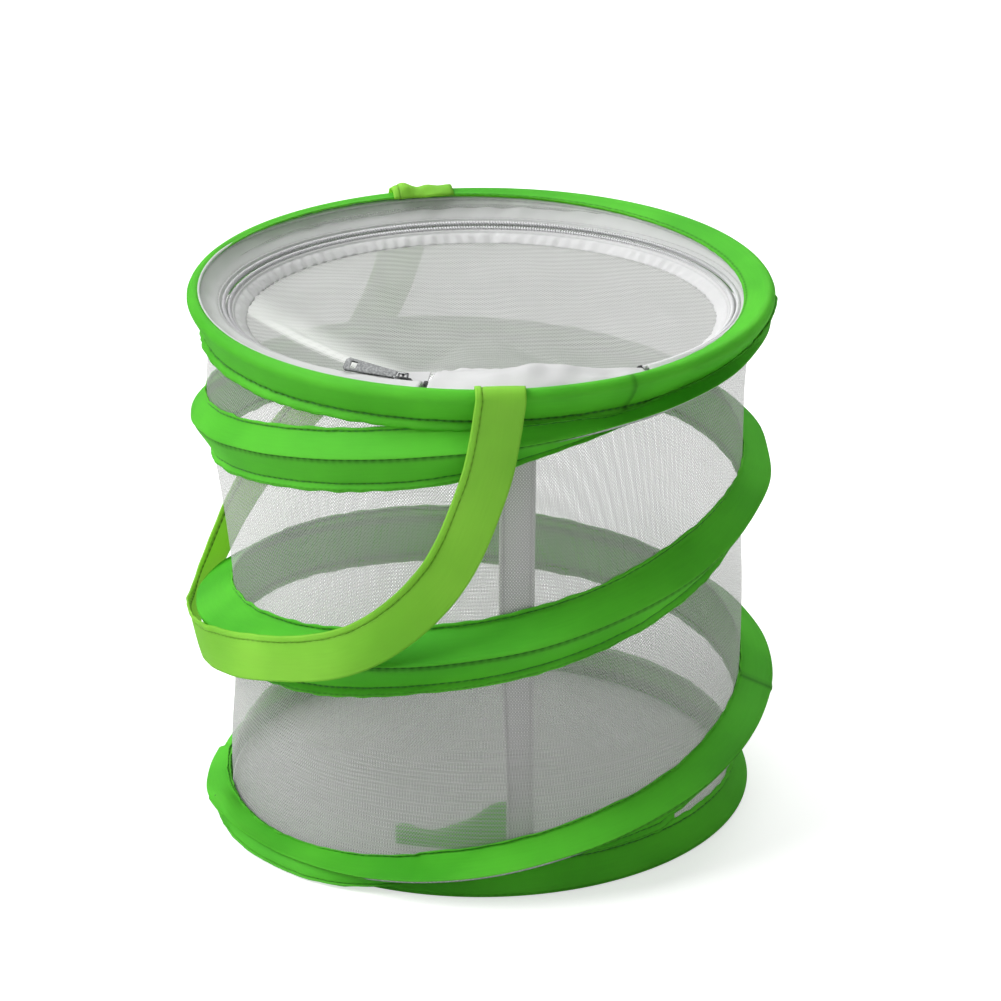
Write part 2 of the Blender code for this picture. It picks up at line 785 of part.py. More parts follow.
def zip_slider():
    channel = coil_radius + slider_clearance
    plate_z = channel + slider_plate / 2
    top_face = channel + slider_plate
    body = plate("zip_slider", plate_z, cage_parts)
    combine(body, plate("slider_bottom", -plate_z, cutters), "UNION")
    web_size = (slider_web_length, slider_web_thickness, 2 * plate_z)
    web_place = (slider_length / 2 - slider_web_length / 2 - slider_inset, 0, 0)
    combine(body, block("slider_web", web_size, web_place), "UNION")
    flange_y = slider_width / 2 - slider_flange / 2 - slider_inset
    flange_x = slider_length * slider_flange_place
    for side in (1, -1):
        for level in (1, -1):
            edge = level * (tape_thickness / 2 + slider_tape_gap) - tape_thickness / 2
            size = (slider_flange_length, slider_flange, abs(level * plate_z - edge))
            place = (flange_x, side * flange_y, (level * plate_z + edge) / 2)
            combine(body, block(f"slider_flange_{side}_{level}", size, place), "UNION")
    bar_top = top_face + bridge_height
    bar_bottom = bar_top - bridge_bar
    outside, inside = bridge_length / 2, bridge_length / 2 - bridge_bar
    half = [(outside, plate_z), (outside, bar_top), (-outside, bar_top), (-outside, plate_z)]
    hollow = [(-inside, plate_z), (-inside, bar_bottom), (inside, bar_bottom), (inside, plate_z)]
    bridge = extruded("slider_bridge", half + hollow, 0, bridge_width, cutters)
    bridge.data.transform(Matrix.Rotation(math.pi / 2, 4, "X"))
    combine(body, bridge, "UNION")
    for obj in (body, *[step.object for step in body.modifiers]):
        obj.data.transform(track_frame(slider_angle))
    keep(body, zip_metal)
    turn = Matrix.Rotation(pull_skew, 4, "Z") @ Matrix.Rotation(-pull_pitch, 4, "Y")
    return track_frame(slider_angle) @ Matrix.Translation((0, 0, top_face + pin_height)) @ turn


pull_frame = zip_slider()


def hang_on(name, place, pieces, parent=None):
    """An empty on a joint's axis, which carries the pieces that the joint moves."""
    empty = new_object(name, None)
    empty.location = place
    empty.parent = parent
    bpy.context.view_layer.update()
    for piece in pieces:
        piece.parent = empty
        piece.matrix_parent_inverse = empty.matrix_world.inverted()
    return empty


# Pull tab: a tapered plate whose eye goes round the slider's bridge
def pull_tab():
    near, far = pull_near_width / 2, pull_far_width / 2
    pin = pull_thickness / 2
    end = pull_length - pin
    corner = far * pull_corner_share
    outline = [
        (-pin, -near), (pull_eye_length + pull_thickness, -near), (end - corner, -far), (end, -far + corner),
        (end, far - corner), (end - corner, far), (pull_eye_length + pull_thickness, near), (-pin, near),
    ]
    eye = [
        (pin, -pull_eye_width / 2), (pin + pull_eye_length, -pull_eye_width / 2),
        (pin + pull_eye_length, pull_eye_width / 2), (pin, pull_eye_width / 2),
    ]
    slot_end = end - pull_slot_margin
    slot = [
        (slot_end - pull_slot_length, -pull_slot_width / 2), (slot_end, -pull_slot_width / 2),
        (slot_end, pull_slot_width / 2), (slot_end - pull_slot_length, pull_slot_width / 2),
    ]
    obj = extruded("zip_pull_tab", outline, 0, pull_thickness, cage_parts, holes=(eye, slot))
    keep(obj, zip_metal)
    return obj


tab = pull_tab()
tab.matrix_world = pull_frame
objects = bpy.data.objects
zip_joint = hang_on("zip_run", zip_centre, [objects["zip_slider"]])
hang_on("pull_hinge", pull_frame.translation - zip_centre, [tab], zip_joint)
lid_pieces = [objects[name] for name in ("lid_edge_tape", "lid_net", "zip_inner_coil")]
hang_on("lid_hinge", polar(hinge_distance, front - hinge_angle, hinge_z), lid_pieces)


# Handle: its two ends sewn over the hoop, and the strap that swings between them
def handle_end(name, centre, lift):
    """One sewn end of the strap, laid over the rim and down the outside of the hoop."""
    half = handle_width / 2 / top_radius
    facet = math.tau / turn_steps
    first, last = front - centre - half, front - centre + half
    corners = [facet * k for k in range(-2 * turn_steps, turn_steps) if first < facet * k < last]
    outside = casing_thickness + seat_gap
    top_z = top_wire_z + fold_radius + outside
    ridge = top_wire_radius + fold_radius + outside
    low_z = top_wire_z - handle_end_depth
    shoulder = handle_end_shoulder_share
    profile = [
        (rim_inner_radius, top_z),
        ((rim_inner_radius + top_wire_radius) / 2, top_z + lift),
        (top_wire_radius, top_z),
        (mix(top_wire_radius, ridge, shoulder), top_wire_z + (fold_radius + outside) * shoulder),
        (ridge, top_wire_z),
        (face_radius(top_profile, 4, 5, top_wire_z - fold_radius), top_wire_z - fold_radius),
        (face_radius(top_profile, 4, 5, low_z), low_z),
    ]
    rows = [[on_facet(r, a, z) for r, z in profile] for a in (first, *corners, last)]
    cloth(name, rows, casing_thickness, 1, strap_cloth)


handle_end("handle_end_front", handle_front_angle, 0)
handle_end("handle_end_back", handle_back_angle, handle_end_back_lift)

pivot_radius = top_radius + seat_gap + casing_thickness + handle_pivot_gap + handle_thickness / 2
pivot_front = polar(pivot_radius, front - handle_front_angle, top_wire_z)
pivot_back = polar(pivot_radius, front - handle_back_angle, top_wire_z)
pivot_axis = (pivot_back - pivot_front).normalized()


def tucked(place):
    """How far the strap tucks in under the spiral's ridge, at a share of its way round."""
    first, last = handle_tuck_shares
    share = min(1.0, max(0.0, (place - first) / (last - first)))
    return math.sin(math.pi * share) ** 2


def handle_centre(place):
    """Angle, radius and height of the strap's middle at a share of its way round."""
    count = len(handle_angle_shares) - 1
    places = [k / count for k in range(count + 1)]
    angle = mix(handle_front_angle, handle_back_angle, through(handle_angle_shares, places, place))
    settled = smooth(min(place, 1 - place) / handle_settle_share)
    radius = mix(pivot_radius, top_radius + handle_cage_gap, settled) - handle_tuck * tucked(place)
    drop = handle_drop * through(handle_drop_shares, places, place)
    return polar(radius, front - angle, top_wire_z - drop)


def handle_rows():
    rows = []
    step = 1 / handle_steps / 8
    places = [k / handle_steps for k in range(handle_steps + 1)]
    for place in places:
        centre = handle_centre(place)
        ahead = handle_centre(min(1, place + step)) - handle_centre(max(0, place - step))
        radial = Vector((centre.x, centre.y, 0)).normalized()
        settled = smooth(min(place, 1 - place) / handle_settle_share)
        end_normal = -pivot_axis if place < 0.5 else pivot_axis
        normal = end_normal.lerp(radial, settled).normalized()
        normal = Matrix.Rotation(-handle_lean * tucked(place), 3, ahead) @ normal
        across = normal.cross(ahead).normalized() * handle_width / 2
        rows.append([centre - across, centre, centre + across])
    lift = Vector((0, 0, handle_top_margin))
    rows.insert(0, [point + lift for point in rows[0]])
    rows.append([point + lift for point in rows[-1]])
    return rows


cloth("handle_strap", handle_rows(), handle_thickness, 0, strap_cloth)
hang_on("handle_swing", pivot_front, [objects["handle_strap"]])
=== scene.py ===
# Pop-up insect cage: a net drum held open by two sprung wire hoops and a spiral
# spring, with green cloth casings, a zipped net lid and a long strap handle.
# Metres, +Z up, +X right, -Y front. Turns run clockwise seen from above.
import math

import bpy
import numpy as np
from mathutils import Matrix, Vector


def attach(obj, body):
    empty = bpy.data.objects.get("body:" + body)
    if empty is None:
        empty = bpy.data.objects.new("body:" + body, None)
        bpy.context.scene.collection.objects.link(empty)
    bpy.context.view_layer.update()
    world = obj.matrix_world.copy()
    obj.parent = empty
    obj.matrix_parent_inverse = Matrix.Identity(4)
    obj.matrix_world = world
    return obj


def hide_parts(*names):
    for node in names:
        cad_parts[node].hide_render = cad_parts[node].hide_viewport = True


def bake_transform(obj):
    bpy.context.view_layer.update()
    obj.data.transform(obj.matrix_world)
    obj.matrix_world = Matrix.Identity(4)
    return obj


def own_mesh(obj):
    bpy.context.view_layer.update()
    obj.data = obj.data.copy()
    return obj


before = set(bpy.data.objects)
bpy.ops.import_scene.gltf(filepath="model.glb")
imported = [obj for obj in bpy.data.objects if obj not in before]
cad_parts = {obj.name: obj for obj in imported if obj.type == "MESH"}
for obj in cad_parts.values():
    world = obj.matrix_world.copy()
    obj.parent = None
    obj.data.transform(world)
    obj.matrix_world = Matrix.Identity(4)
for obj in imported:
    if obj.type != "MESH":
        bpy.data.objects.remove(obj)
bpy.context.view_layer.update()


# Hoop wires, ferrules and zip stops
# Sprung steel wire, each hoop closed by a crimped sleeve, hidden in the casings;
# the stops are pressed metal. These stay as the CAD solids and get a metal finish.
class Shade:
    """A value or a colour in a material, on which sums are written."""

    def __init__(self, tree, socket):
        self.tree = tree
        self.socket = socket

    def node(self, kind, settings=None, inputs=None, output=0):
        made = self.tree.nodes.new(kind)
        for name, value in (settings or {}).items():
            setattr(made, name, value)
        for name, value in (inputs or {}).items():
            socket = made.inputs[name]
            if isinstance(value, Shade):
                self.tree.links.new(value.socket, socket)
            else:
                socket.default_value = value
        return Shade(self.tree, made.outputs[output])

    def sum(self, operation, first, second=0.0):
        return self.node("ShaderNodeMath", {"operation": operation}, {0: first, 1: second})

    def __add__(self, other):
        return self.sum("ADD", self, other)

    def __sub__(self, other):
        return self.sum("SUBTRACT", self, other)

    def __rsub__(self, other):
        return self.sum("SUBTRACT", other, self)

    def __mul__(self, other):
        return self.sum("MULTIPLY", self, other)

    def part(self, operation):
        return self.sum(operation, self)

    def between(self, low, high):
        """0 below the low value, 1 above the high one, and a smooth step from one to the other."""
        return self.node("ShaderNodeMapRange", {"interpolation_type": "SMOOTHSTEP"}, {0: self, 1: low, 2: high})

    def larger(self, other):
        return self.sum("MAXIMUM", self, other)

    def tint(self, first, second):
        """From the first colour, where this value is 0, to the second, where it is 1."""
        first = first if isinstance(first, Shade) else (*first, 1)
        second = second if isinstance(second, Shade) else (*second, 1)
        return self.node("ShaderNodeMix", {"data_type": "RGBA"}, {0: self, 6: first, 7: second}, 2)

    def noise(self, scale, detail=3.0):
        return self.node("ShaderNodeTexNoise", {}, {"Vector": self, "Scale": scale, "Detail": detail})

    def axis(self, number):
        return self.node("ShaderNodeSeparateXYZ", {}, {0: self}, number)

    def scaled(self, x, y, z):
        return self.node("ShaderNodeVectorMath", {"operation": "MULTIPLY"}, {0: self, 1: (x, y, z)})

    def bump(self, strength, distance):
        return self.node("ShaderNodeBump", {}, {"Height": self, "Strength": strength, "Distance": distance})


def finish(name, inputs):
    """A material, its shader's plain inputs, and the object's own coordinates."""
    material = bpy.data.materials.new(name)
    material.use_nodes = True
    shader = material.node_tree.nodes["Principled BSDF"]
    start = Shade(material.node_tree, None)
    coordinates = start.node("ShaderNodeTexCoord", {}, {}, 3)
    for key, value in inputs.items():
        shader.inputs[key].default_value = value
    return material, shader, coordinates


def feed(shader, **links):
    for key, value in links.items():
        value.tree.links.new(value.socket, shader.inputs[key.replace("_", " ")])


def metal_finish(name, dark, light, smooth, rough):
    """Fine grain, lighter where it is rubbed, with scratches drawn out across Z."""
    material, shader, place = finish(name, {"Metallic": 1.0})
    cloud = place.noise(900.0, 4.0)
    scratch = place.scaled(1.0, 1.0, 14.0).noise(2600.0, 2.0)
    feed(
        shader,
        Base_Color=cloud.between(0.35, 0.75).tint(dark, light),
        Roughness=cloud * (rough - smooth) + smooth,
        Normal=(scratch + cloud).bump(0.25, 0.00004),
    )
    return material


def dress(material, *nodes):
    for node in nodes:
        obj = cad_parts[node]
        obj.data.materials.clear()
        obj.data.materials.append(material)


drawn_wire = metal_finish("drawn_wire", (0.32, 0.33, 0.34), (0.55, 0.56, 0.57), 0.25, 0.45)
zip_alloy = metal_finish("zip_alloy", (0.10, 0.105, 0.105), (0.22, 0.225, 0.225), 0.22, 0.42)
dress(drawn_wire, "top_hoop_wire", "bottom_hoop_wire", "top_hoop_ferrule", "bottom_hoop_ferrule")
dress(zip_alloy, "zip_stop_closed", "zip_stop_open")


# Net drum
# Fine knitted polyester net, cut as one strip, closed at the seam tape and sewn
# into the casings of the two hoops. It draws in a little between them.
mm = 0.001
net_top_z = 273.5 * mm
net_bottom_z = 1.1 * mm
net_heights = np.array([0.0, 0.2, 0.52, 0.82, 1.0]) * (net_top_z - net_bottom_z) + net_bottom_z
net_radii = np.array([133.0, 133.1, 133.5, 138.3, 138.8]) * mm
lean_heights = np.array([1.1, 24, 60, 105, 130, 165, 222, 250, 273.5]) * mm
net_leans = np.array([0, -0.2, -2.6, -3.2, -2.6, -0.3, 3.0, 1.6, 0]) * mm
net_length = math.tau * 135 * mm
front = -math.pi / 2


def ease(share):
    share = np.clip(share, 0.0, 1.0)
    return share * share * (3 - 2 * share)


def mix(first, second, share):
    return first + (second - first) * share


def around(radius, angle, z):
    """Points at an angle from the front, to the left."""
    turn = front - angle
    shape = np.broadcast(radius, angle, z).shape
    parts = (radius * np.cos(turn), radius * np.sin(turn), z)
    return np.stack([np.broadcast_to(part, shape) for part in parts], axis=-1)


def bend(share, width, first, slope, last, last_slope):
    """A smooth curve from a first value to a last one, with a slope at each."""
    s2, s3 = share ** 2, share ** 3
    start = (2 * s3 - 3 * s2 + 1) * first + (s3 - 2 * s2 + share) * slope * width
    return start + (3 * s2 - 2 * s3) * last + (s3 - s2) * last_slope * width


def through(values, places, at):
    """A smooth curve through values given at rising places."""
    values, places = np.asarray(values, float), np.asarray(places, float)
    last = len(places) - 1
    step = np.clip(np.searchsorted(places, at, side="right") - 1, 0, last - 1)
    low, high = np.maximum(np.arange(last + 1) - 1, 0), np.minimum(np.arange(last + 1) + 1, last)
    gaps = places[high] - places[low]
    slopes = (values[high] - values[low]) / (gaps if values.ndim == 1 else gaps[:, None])
    width = places[step + 1] - places[step]
    share = (at - places[step]) / width
    if values.ndim > 1:
        width, share = width[..., None], share[..., None]
    return bend(share, width, values[step], slopes[step], values[step + 1], slopes[step + 1])


def ripple(points, pitch, seed):
    """Soft irregular waves, about one pitch long, between -1 and 1."""
    total = 0.0
    for k in range(7):
        tip = 2.399 * (k + seed * 3.7)
        lift = math.sin(seed + 1.9 * k) * 0.8
        way = (math.cos(tip) * math.cos(lift), math.sin(tip) * math.cos(lift), math.sin(lift))
        total = total + np.sin(points @ np.array(way) * math.tau / pitch * (0.7 + 0.11 * k) + tip)
    return total / 4


def net_radius(angle, z):
    """The drum's radius: slack cloth that leans to the left near the top and to the right at its waist."""
    low = np.clip(z, net_bottom_z, net_top_z)
    base = through(net_radii, net_heights, low) + through(net_leans, lean_heights, low) * np.sin(angle)
    return base + ripple(around(base, angle, z), 90 * mm, 3) * 0.5 * mm


def cut_cloth(name, steps_along, steps_across):
    """A flat grid of cloth, one metre square, ready to be laid in its place."""
    bpy.ops.object.select_all(action="DESELECT")
    bpy.ops.mesh.primitive_grid_add(x_subdivisions=steps_along, y_subdivisions=steps_across, size=1)
    cloth = bpy.context.object
    cloth.name = name
    cloth.data.name = name
    return cloth


def read_points(mesh):
    flat = np.empty(len(mesh.vertices) * 3)
    mesh.vertices.foreach_get("co", flat)
    return flat.reshape(-1, 3)


def write_uv(mesh, places):
    """Each corner of the UV map takes the place that is given for its point."""
    corner = np.empty(len(mesh.loops), int)
    mesh.loops.foreach_get("vertex_index", corner)
    mesh.uv_layers[0].data.foreach_set("uv", places[corner].ravel())


def open_mesh(piece):
    """Edit mode on this piece alone, with all of it selected."""
    bpy.ops.object.select_all(action="DESELECT")
    piece.select_set(True)
    bpy.context.view_layer.objects.active = piece
    bpy.ops.object.mode_set(mode="EDIT")
    bpy.ops.mesh.select_all(action="SELECT")


def lay(cloth, place, cut, outward, joined=False, thickness=0.0, side=0.0):
    """Lays a grid where place says; its UV map keeps the cut's own width and length in metres."""
    mesh = cloth.data
    shares = read_points(mesh)[:, :2] + 0.5
    points = place(shares[:, 0], shares[:, 1])
    mesh.vertices.foreach_set("co", np.ascontiguousarray(points, float).ravel())
    write_uv(mesh, shares * np.array(cut))
    mesh.update()
    open_mesh(cloth)
    if joined:
        bpy.ops.mesh.remove_doubles(threshold=0.01 * mm)
    bpy.ops.object.mode_set(mode="OBJECT")
    facing = sum(face.area * face.normal.dot(outward(face.center)) for face in mesh.polygons)
    bpy.ops.object.mode_set(mode="EDIT")
    if facing < 0:
        bpy.ops.mesh.flip_normals()
    bpy.ops.object.mode_set(mode="OBJECT")
    if thickness:
        wall = cloth.modifiers.new("thickness", "SOLIDIFY")
        wall.thickness = thickness
        wall.offset = side
        wall.use_even_offset = False
        bpy.ops.object.modifier_apply(modifier="thickness")
    bpy.ops.object.shade_smooth()
    return cloth


def from_axis(point):
    return Vector((point.x, point.y, 0))


def let_light_through(material, colour, glow, share, threads=None):
    """Cloth glows with the light on its far side, and net has clear holes between its threads."""
    shader = material.node_tree.nodes["Principled BSDF"]
    front_side = Shade(material.node_tree, shader.outputs[0])
    far_side = colour.node("ShaderNodeBsdfTranslucent", {}, {"Color": glow})
    body = colour.node("ShaderNodeMixShader", {}, {0: share, 1: front_side, 2: far_side})
    if threads:
        clear = colour.node("ShaderNodeBsdfTransparent")
        body = colour.node("ShaderNodeMixShader", {}, {0: threads, 1: clear, 2: body})
    output = material.node_tree.nodes["Material Output"]
    material.node_tree.links.new(body.socket, output.inputs["Surface"])


def net_finish(name, cell, thread, cover, veil, tone, course, foot=0.0, tuck=None):
    """Knitted net: rows of small holes, threads in relief with painted shade on their sides, and a thin veil over the
    holes.
    It is denser in every course of its knitting, towards its foot, and where it is tucked double along a line;
    painted shade lies in the troughs between its courses."""
    material, shader, place = finish(name, {"Sheen Weight": 0.15, "Sheen Roughness": 0.6})
    cloth = place.node("ShaderNodeUVMap", {"uv_map": "UVMap"})
    drift = place.noise(40.0, 2.0) * 0.5
    along, across = cloth.axis(0) * (1 / cell[0]) + drift, cloth.axis(1) * (1 / cell[1])
    knit = None
    for slant in (1.0, -1.0):
        line = ((along + across * slant).part("FRACT") - 0.5).part("ABSOLUTE")
        edge = line.between(0.5 - thread - 0.08, 0.5 - thread + 0.08)
        knit = edge if knit is None else knit.larger(edge)
    cloud = place.noise(24.0, 3.0)
    rows = ((cloth.axis(1) * (1 / course) + place.noise(14.0, 2.0) * 2.4) * math.tau).part("SINE")
    # Painted shade: the colour of the threads is darkened along their sides, next to the holes.
    side = knit * (1.0 - knit) * 4.0
    plain = cloud.between(0.3, 0.7).tint(tuple(0.9 * c for c in tone), tone)
    # Painted shade: the colour is darker in the troughs between the knitting's courses.
    shaded = (rows * 0.5 + 0.5).tint(tuple(0.84 * c for c in tone), plain)
    colour = (side * 0.8).tint(shaded, tuple(0.42 * c for c in tone))
    opacity = knit * cover + rows * 0.08 + veil + cloud * 0.1
    if foot:
        opacity = opacity + (1.0 - cloth.axis(1).between(0.03, 0.14)) * foot
    if tuck:
        beside = cloth.axis(0) * tuck[0] + cloth.axis(1) * tuck[1] - tuck[2]
        doubled = beside.between(-0.006, -0.002) * (1.0 - beside.between(0.002, 0.03))
        opacity = opacity + doubled * 0.34
        colour = (doubled * 0.8).tint(colour, (0.93, 0.93, 0.92))
    feed(shader, Base_Color=colour, Roughness=cloud * 0.2 + 0.6, Normal=(knit + rows * 0.35).bump(0.6, 0.00025))
    let_light_through(material, colour, colour, 0.46, opacity)
    return material


def wear(cloth, material, body=None):
    cloth.data.materials.clear()
    cloth.data.materials.append(material)
    if body:
        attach(cloth, body)


def flatten(cloth):
    """Gives a cloth between the hoops its own copy of its mesh."""
    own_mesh(cloth)


net_white = net_finish(
    "net_white", cell=(1.5 * mm, 1.9 * mm), thread=0.17, cover=0.56, veil=0.10, tone=(0.65, 0.645, 0.645),
    course=2.3 * mm, foot=0.20,
)


def net_place(u, v):
    angle = u * math.tau
    z = mix(net_bottom_z, net_top_z, v)
    return around(net_radius(angle, z), angle, z)


net_drum = lay(cut_cloth("net_drum", 240, 90), net_place, (net_length, 272.4 * mm), from_axis, joined=True)
wear(net_drum, net_white, "base")
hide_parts("net_wall")
flatten(net_drum)


# Seam tape and joint patch
# White woven tape closes the net's upright seam on the inside, with one folded
# edge; left of it a spare piece of casing cloth backs the net just over the floor.
stitch_pitch = 4.2 * mm


def woven_finish(name, light, dark, glow, pitch, sheen):
    """Plain woven cloth: warp and weft in relief, soft colour clouds, and painted shade in its folds and along its
    stitch lines.
    """
    material, shader, place = finish(
        name, {"Sheen Weight": sheen, "Sheen Roughness": 0.4, "Sheen Tint": (*light, 1), "Specular IOR Level": 0.3}
    )
    cloth = place.node("ShaderNodeUVMap", {"uv_map": "UVMap"})
    warp = (cloth.axis(0) * (math.tau / pitch)).part("SINE")
    weft = (cloth.axis(1) * (math.tau / pitch)).part("SINE")
    cloud = place.noise(16.0, 4.0)
    slub = cloth.scaled(60.0, 900.0, 1.0).noise(1.0, 2.0)
    drift = place.noise(7.0, 2.0)
    tone = (cloud * 0.5 + drift * 0.38 + slub * 0.12).between(0.36, 0.64).tint(dark, light)
    # Painted shade: the fold attribute darkens the colour at creases and stitch grooves, in dashes at the stitch
    # pitch, and darkens joints.
    stitch_shade = (cloth.axis(0) * (math.tau / stitch_pitch)).part("SINE") * 0.2 + 0.8
    fold = place.node("ShaderNodeAttribute", {"attribute_name": "fold"}, {}, 2) * stitch_shade
    colour = fold.tint(tone, tuple(c * 0.16 for c in dark))
    feed(
        shader, Base_Color=colour, Roughness=cloud * 0.15 + 0.55,
        Normal=(warp * weft * 0.5 + slub * 0.25).bump(0.35, 0.00012),
    )
    # The painted shade at the folds also dims the light that comes through the cloth.
    let_light_through(material, colour, fold.tint(glow, tuple(c * 0.3 for c in glow)), 0.42)
    return material


def hill(at, place, width):
    """1 at a place, and smoothly away to 0 on both sides of it."""
    return np.exp(-((at - place) / width) ** 2)


def crowd(share, lines):
    """Moves a grid's rows closer together at stitch lines and creases, so that these stay sharp."""
    fine = np.linspace(0, 1, 2001)
    density = np.ones(len(fine)) + sum(7 * hill(fine, place, 2.4 * width) for place, width, shade_depth in lines)
    total = np.concatenate([[0], np.cumsum((density[1:] + density[:-1]) / 2)])
    return np.interp(share, total / total[-1], fine)


def sewn(name, place, cut, steps, lines=(), joints=(), outward=from_axis, thickness=0.4 * mm, **more):
    """A strip of cloth: lines are its stitch lines and creases, each a share across, a width and a depth of painted
    shade.
    Joints are the same along it. The rest is handed on to lay."""
    cloth = cut_cloth(name, *steps)
    mesh = cloth.data
    shares = read_points(mesh)
    shares[:, 1] = crowd(shares[:, 1] + 0.5, lines) - 0.5
    mesh.vertices.foreach_set("co", shares.ravel())
    # The fold attribute holds how much the colour darkens: painted shade at creases and stitch lines, and a dark line
    # at joints.
    fold = np.zeros(len(shares))
    for marks, direction in ((lines, 1), (joints, 0)):
        for spot, width, shade_depth in marks:
            fold += shade_depth * hill(shares[:, direction] + 0.5, spot, width)
    layer = mesh.attributes.new("fold", "FLOAT", "POINT")
    layer.data.foreach_set("value", np.clip(fold, 0, 1).astype(np.float32))
    return lay(cloth, place, cut, outward, thickness=thickness, **more)


white_glow, green_glow = (0.9, 0.9, 0.9), (0.5, 0.95, 0.22)
tape_thread, casing_thread = 0.5 * mm, 0.42 * mm
tape_white = woven_finish("tape_white", (0.90, 0.89, 0.90), (0.83, 0.82, 0.83), white_glow, tape_thread, 0.1)
casing_green = woven_finish(
    "casing_green", (0.125, 0.63, 0.038), (0.06, 0.43, 0.015), green_glow, casing_thread, 0.5
)
seam_angle = math.radians(-7.7)
seam_width, seam_foot_width = 18 * mm, 13.5 * mm
seam_right = 9.0 * mm
seam_low, seam_high = 22 * mm, 258 * mm


def seam_place(u, v):
    z = mix(seam_low, seam_high, u)
    width = mix(seam_foot_width, seam_width, ease((z - seam_low) / (150 * mm)))
    inside = net_radius(seam_angle, z) - 1.2 * mm
    lip = 0.9 * mm * hill(v, 0.05, 0.045) + 0.4 * mm * hill(v, 0.95, 0.03)
    pucker = 0.25 * mm * np.sin(z / (6 * mm) * math.tau) * np.abs(v - 0.5)
    angle = seam_angle + ((1 - v) * width - seam_right) / inside
    return around(inside + lip + pucker - 0.4 * mm, angle, z)


seam_strip = sewn(
    "seam_strip", seam_place, (seam_high - seam_low, seam_width), (160, 30),
    lines=((0.13, 0.03, 0.4), (0.88, 0.03, 0.35)), thickness=0.35 * mm, side=-1,
)
wear(seam_strip, tape_white, "base")
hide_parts("seam_tape")
flatten(seam_strip)

patch_left, patch_right = math.radians(19.3), math.radians(-5.6)
patch_width = (patch_left - patch_right) * 132 * mm
patch_low, patch_high = 23 * mm, 50 * mm


def patch_place(u, v):
    angle = mix(patch_left, patch_right, u)
    top = mix(33.5, 49, ease((u - 0.38) / 0.6)) * mm + 0.8 * mm * np.sin(u * 15)
    z = mix(patch_low, top, v)
    inside = net_radius(angle, z) - (1.9 + 0.4 * v + 0.5 * v * np.sin(u * 17)) * mm
    return around(inside, angle, z)


joint_lining = sewn("joint_lining", patch_place, (patch_width, patch_high - patch_low), (48, 20), side=-1)
wear(joint_lining, casing_green, "base")
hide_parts("joint_patch")
flatten(joint_lining)


# Floor
# A round of white woven cloth, sewn to the bottom hoop's casing; it lies flat on
# the table and is a little drawn up by its seam.
floor_radius = 132.4 * mm


def upward(point):
    return Vector((0, 0, 1))


def floor_place(u, v):
    angle = u * math.tau
    radius = floor_radius * np.maximum(v, 0.004)
    flat = around(radius, angle, 0.0)
    slack = ripple(flat, 70 * mm, 5) * 0.35 * mm * ease((1 - v) / 0.15)
    flat[..., 2] = 0.45 * mm + 0.4 * mm * ease((v - 0.9) / 0.1) + np.maximum(slack, -0.3 * mm)
    return flat


cloth_floor = sewn(
    "cloth_floor", floor_place, (math.tau * floor_radius, floor_radius), (160, 40),
    joined=True, thickness=0.35 * mm, outward=upward,
)
wear(cloth_floor, tape_white, "base")
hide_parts("floor_panel")


# Hoop casings
# Strips of green polyester cloth folded over each hoop's wire and sewn through
# both layers near the hem; the thread gathers the hem into small puckers. The
# rows give a strip's section: share across, radius and height in millimetres.
top_wire_z = 277 * mm
top_rows = np.array([
    (0.00, 139.6, 0.2), (0.03, 139.4, 0.9), (0.07, 140.2, 1.5), (0.15, 142.3, 2.0), (0.24, 144.7, 2.9),
    (0.30, 146.1, 3.2), (0.36, 147.9, 2.7), (0.42, 149.4, 1.0), (0.47, 150.1, -0.9), (0.53, 149.5, -3.0),
    (0.64, 147.2, -6.8), (0.76, 144.2, -11.0), (0.84, 142.2, -13.6), (0.875, 140.9, -15.0),
    (0.895, 140.6, -15.8), (0.925, 141.7, -16.9), (0.96, 142.3, -18.6), (0.985, 142.0, -20.0),
    (1.0, 141.2, -20.6),
])
crest_share, crest_radius, crest_rise = 0.30, 146.1 * mm, 3.2 * mm
lip_radius_mean, lip_rise_mean, lip_slope = 139.6 * mm, 0.9 * mm, 0.36
outer_face = top_rows[:6:-1]  # from its foot up
top_creases = ((0.886, 0.016, 1.0), (0.055, 0.012, 0.6))
top_joint = math.radians(-30)
front_dip, hem_lean = 1.0 * mm, 1.5 * mm


def rim_lip(angle):
    """Radius and height of the casing's inner edge, which reaches further in on the right."""
    side, ahead = np.sin(angle), np.cos(angle)
    radius = lip_radius_mean + (4.9 * side - 0.9 * side ** 2 + 1.4 * ahead + 2.6 * ahead ** 2) * mm
    return radius, crest_rise - (crest_radius - radius) * lip_slope - 1.6 * mm * np.maximum(ahead, 0)


def half_turn(angle):
    """The same angle, from half a turn to the right to half a turn to the left."""
    return (angle + math.pi) % math.tau - math.pi


def near_joint(angle, joint, reach=0.012):
    """1 at a joint in a strip, 0 away from it."""
    return hill(half_turn(angle - joint), 0, reach)


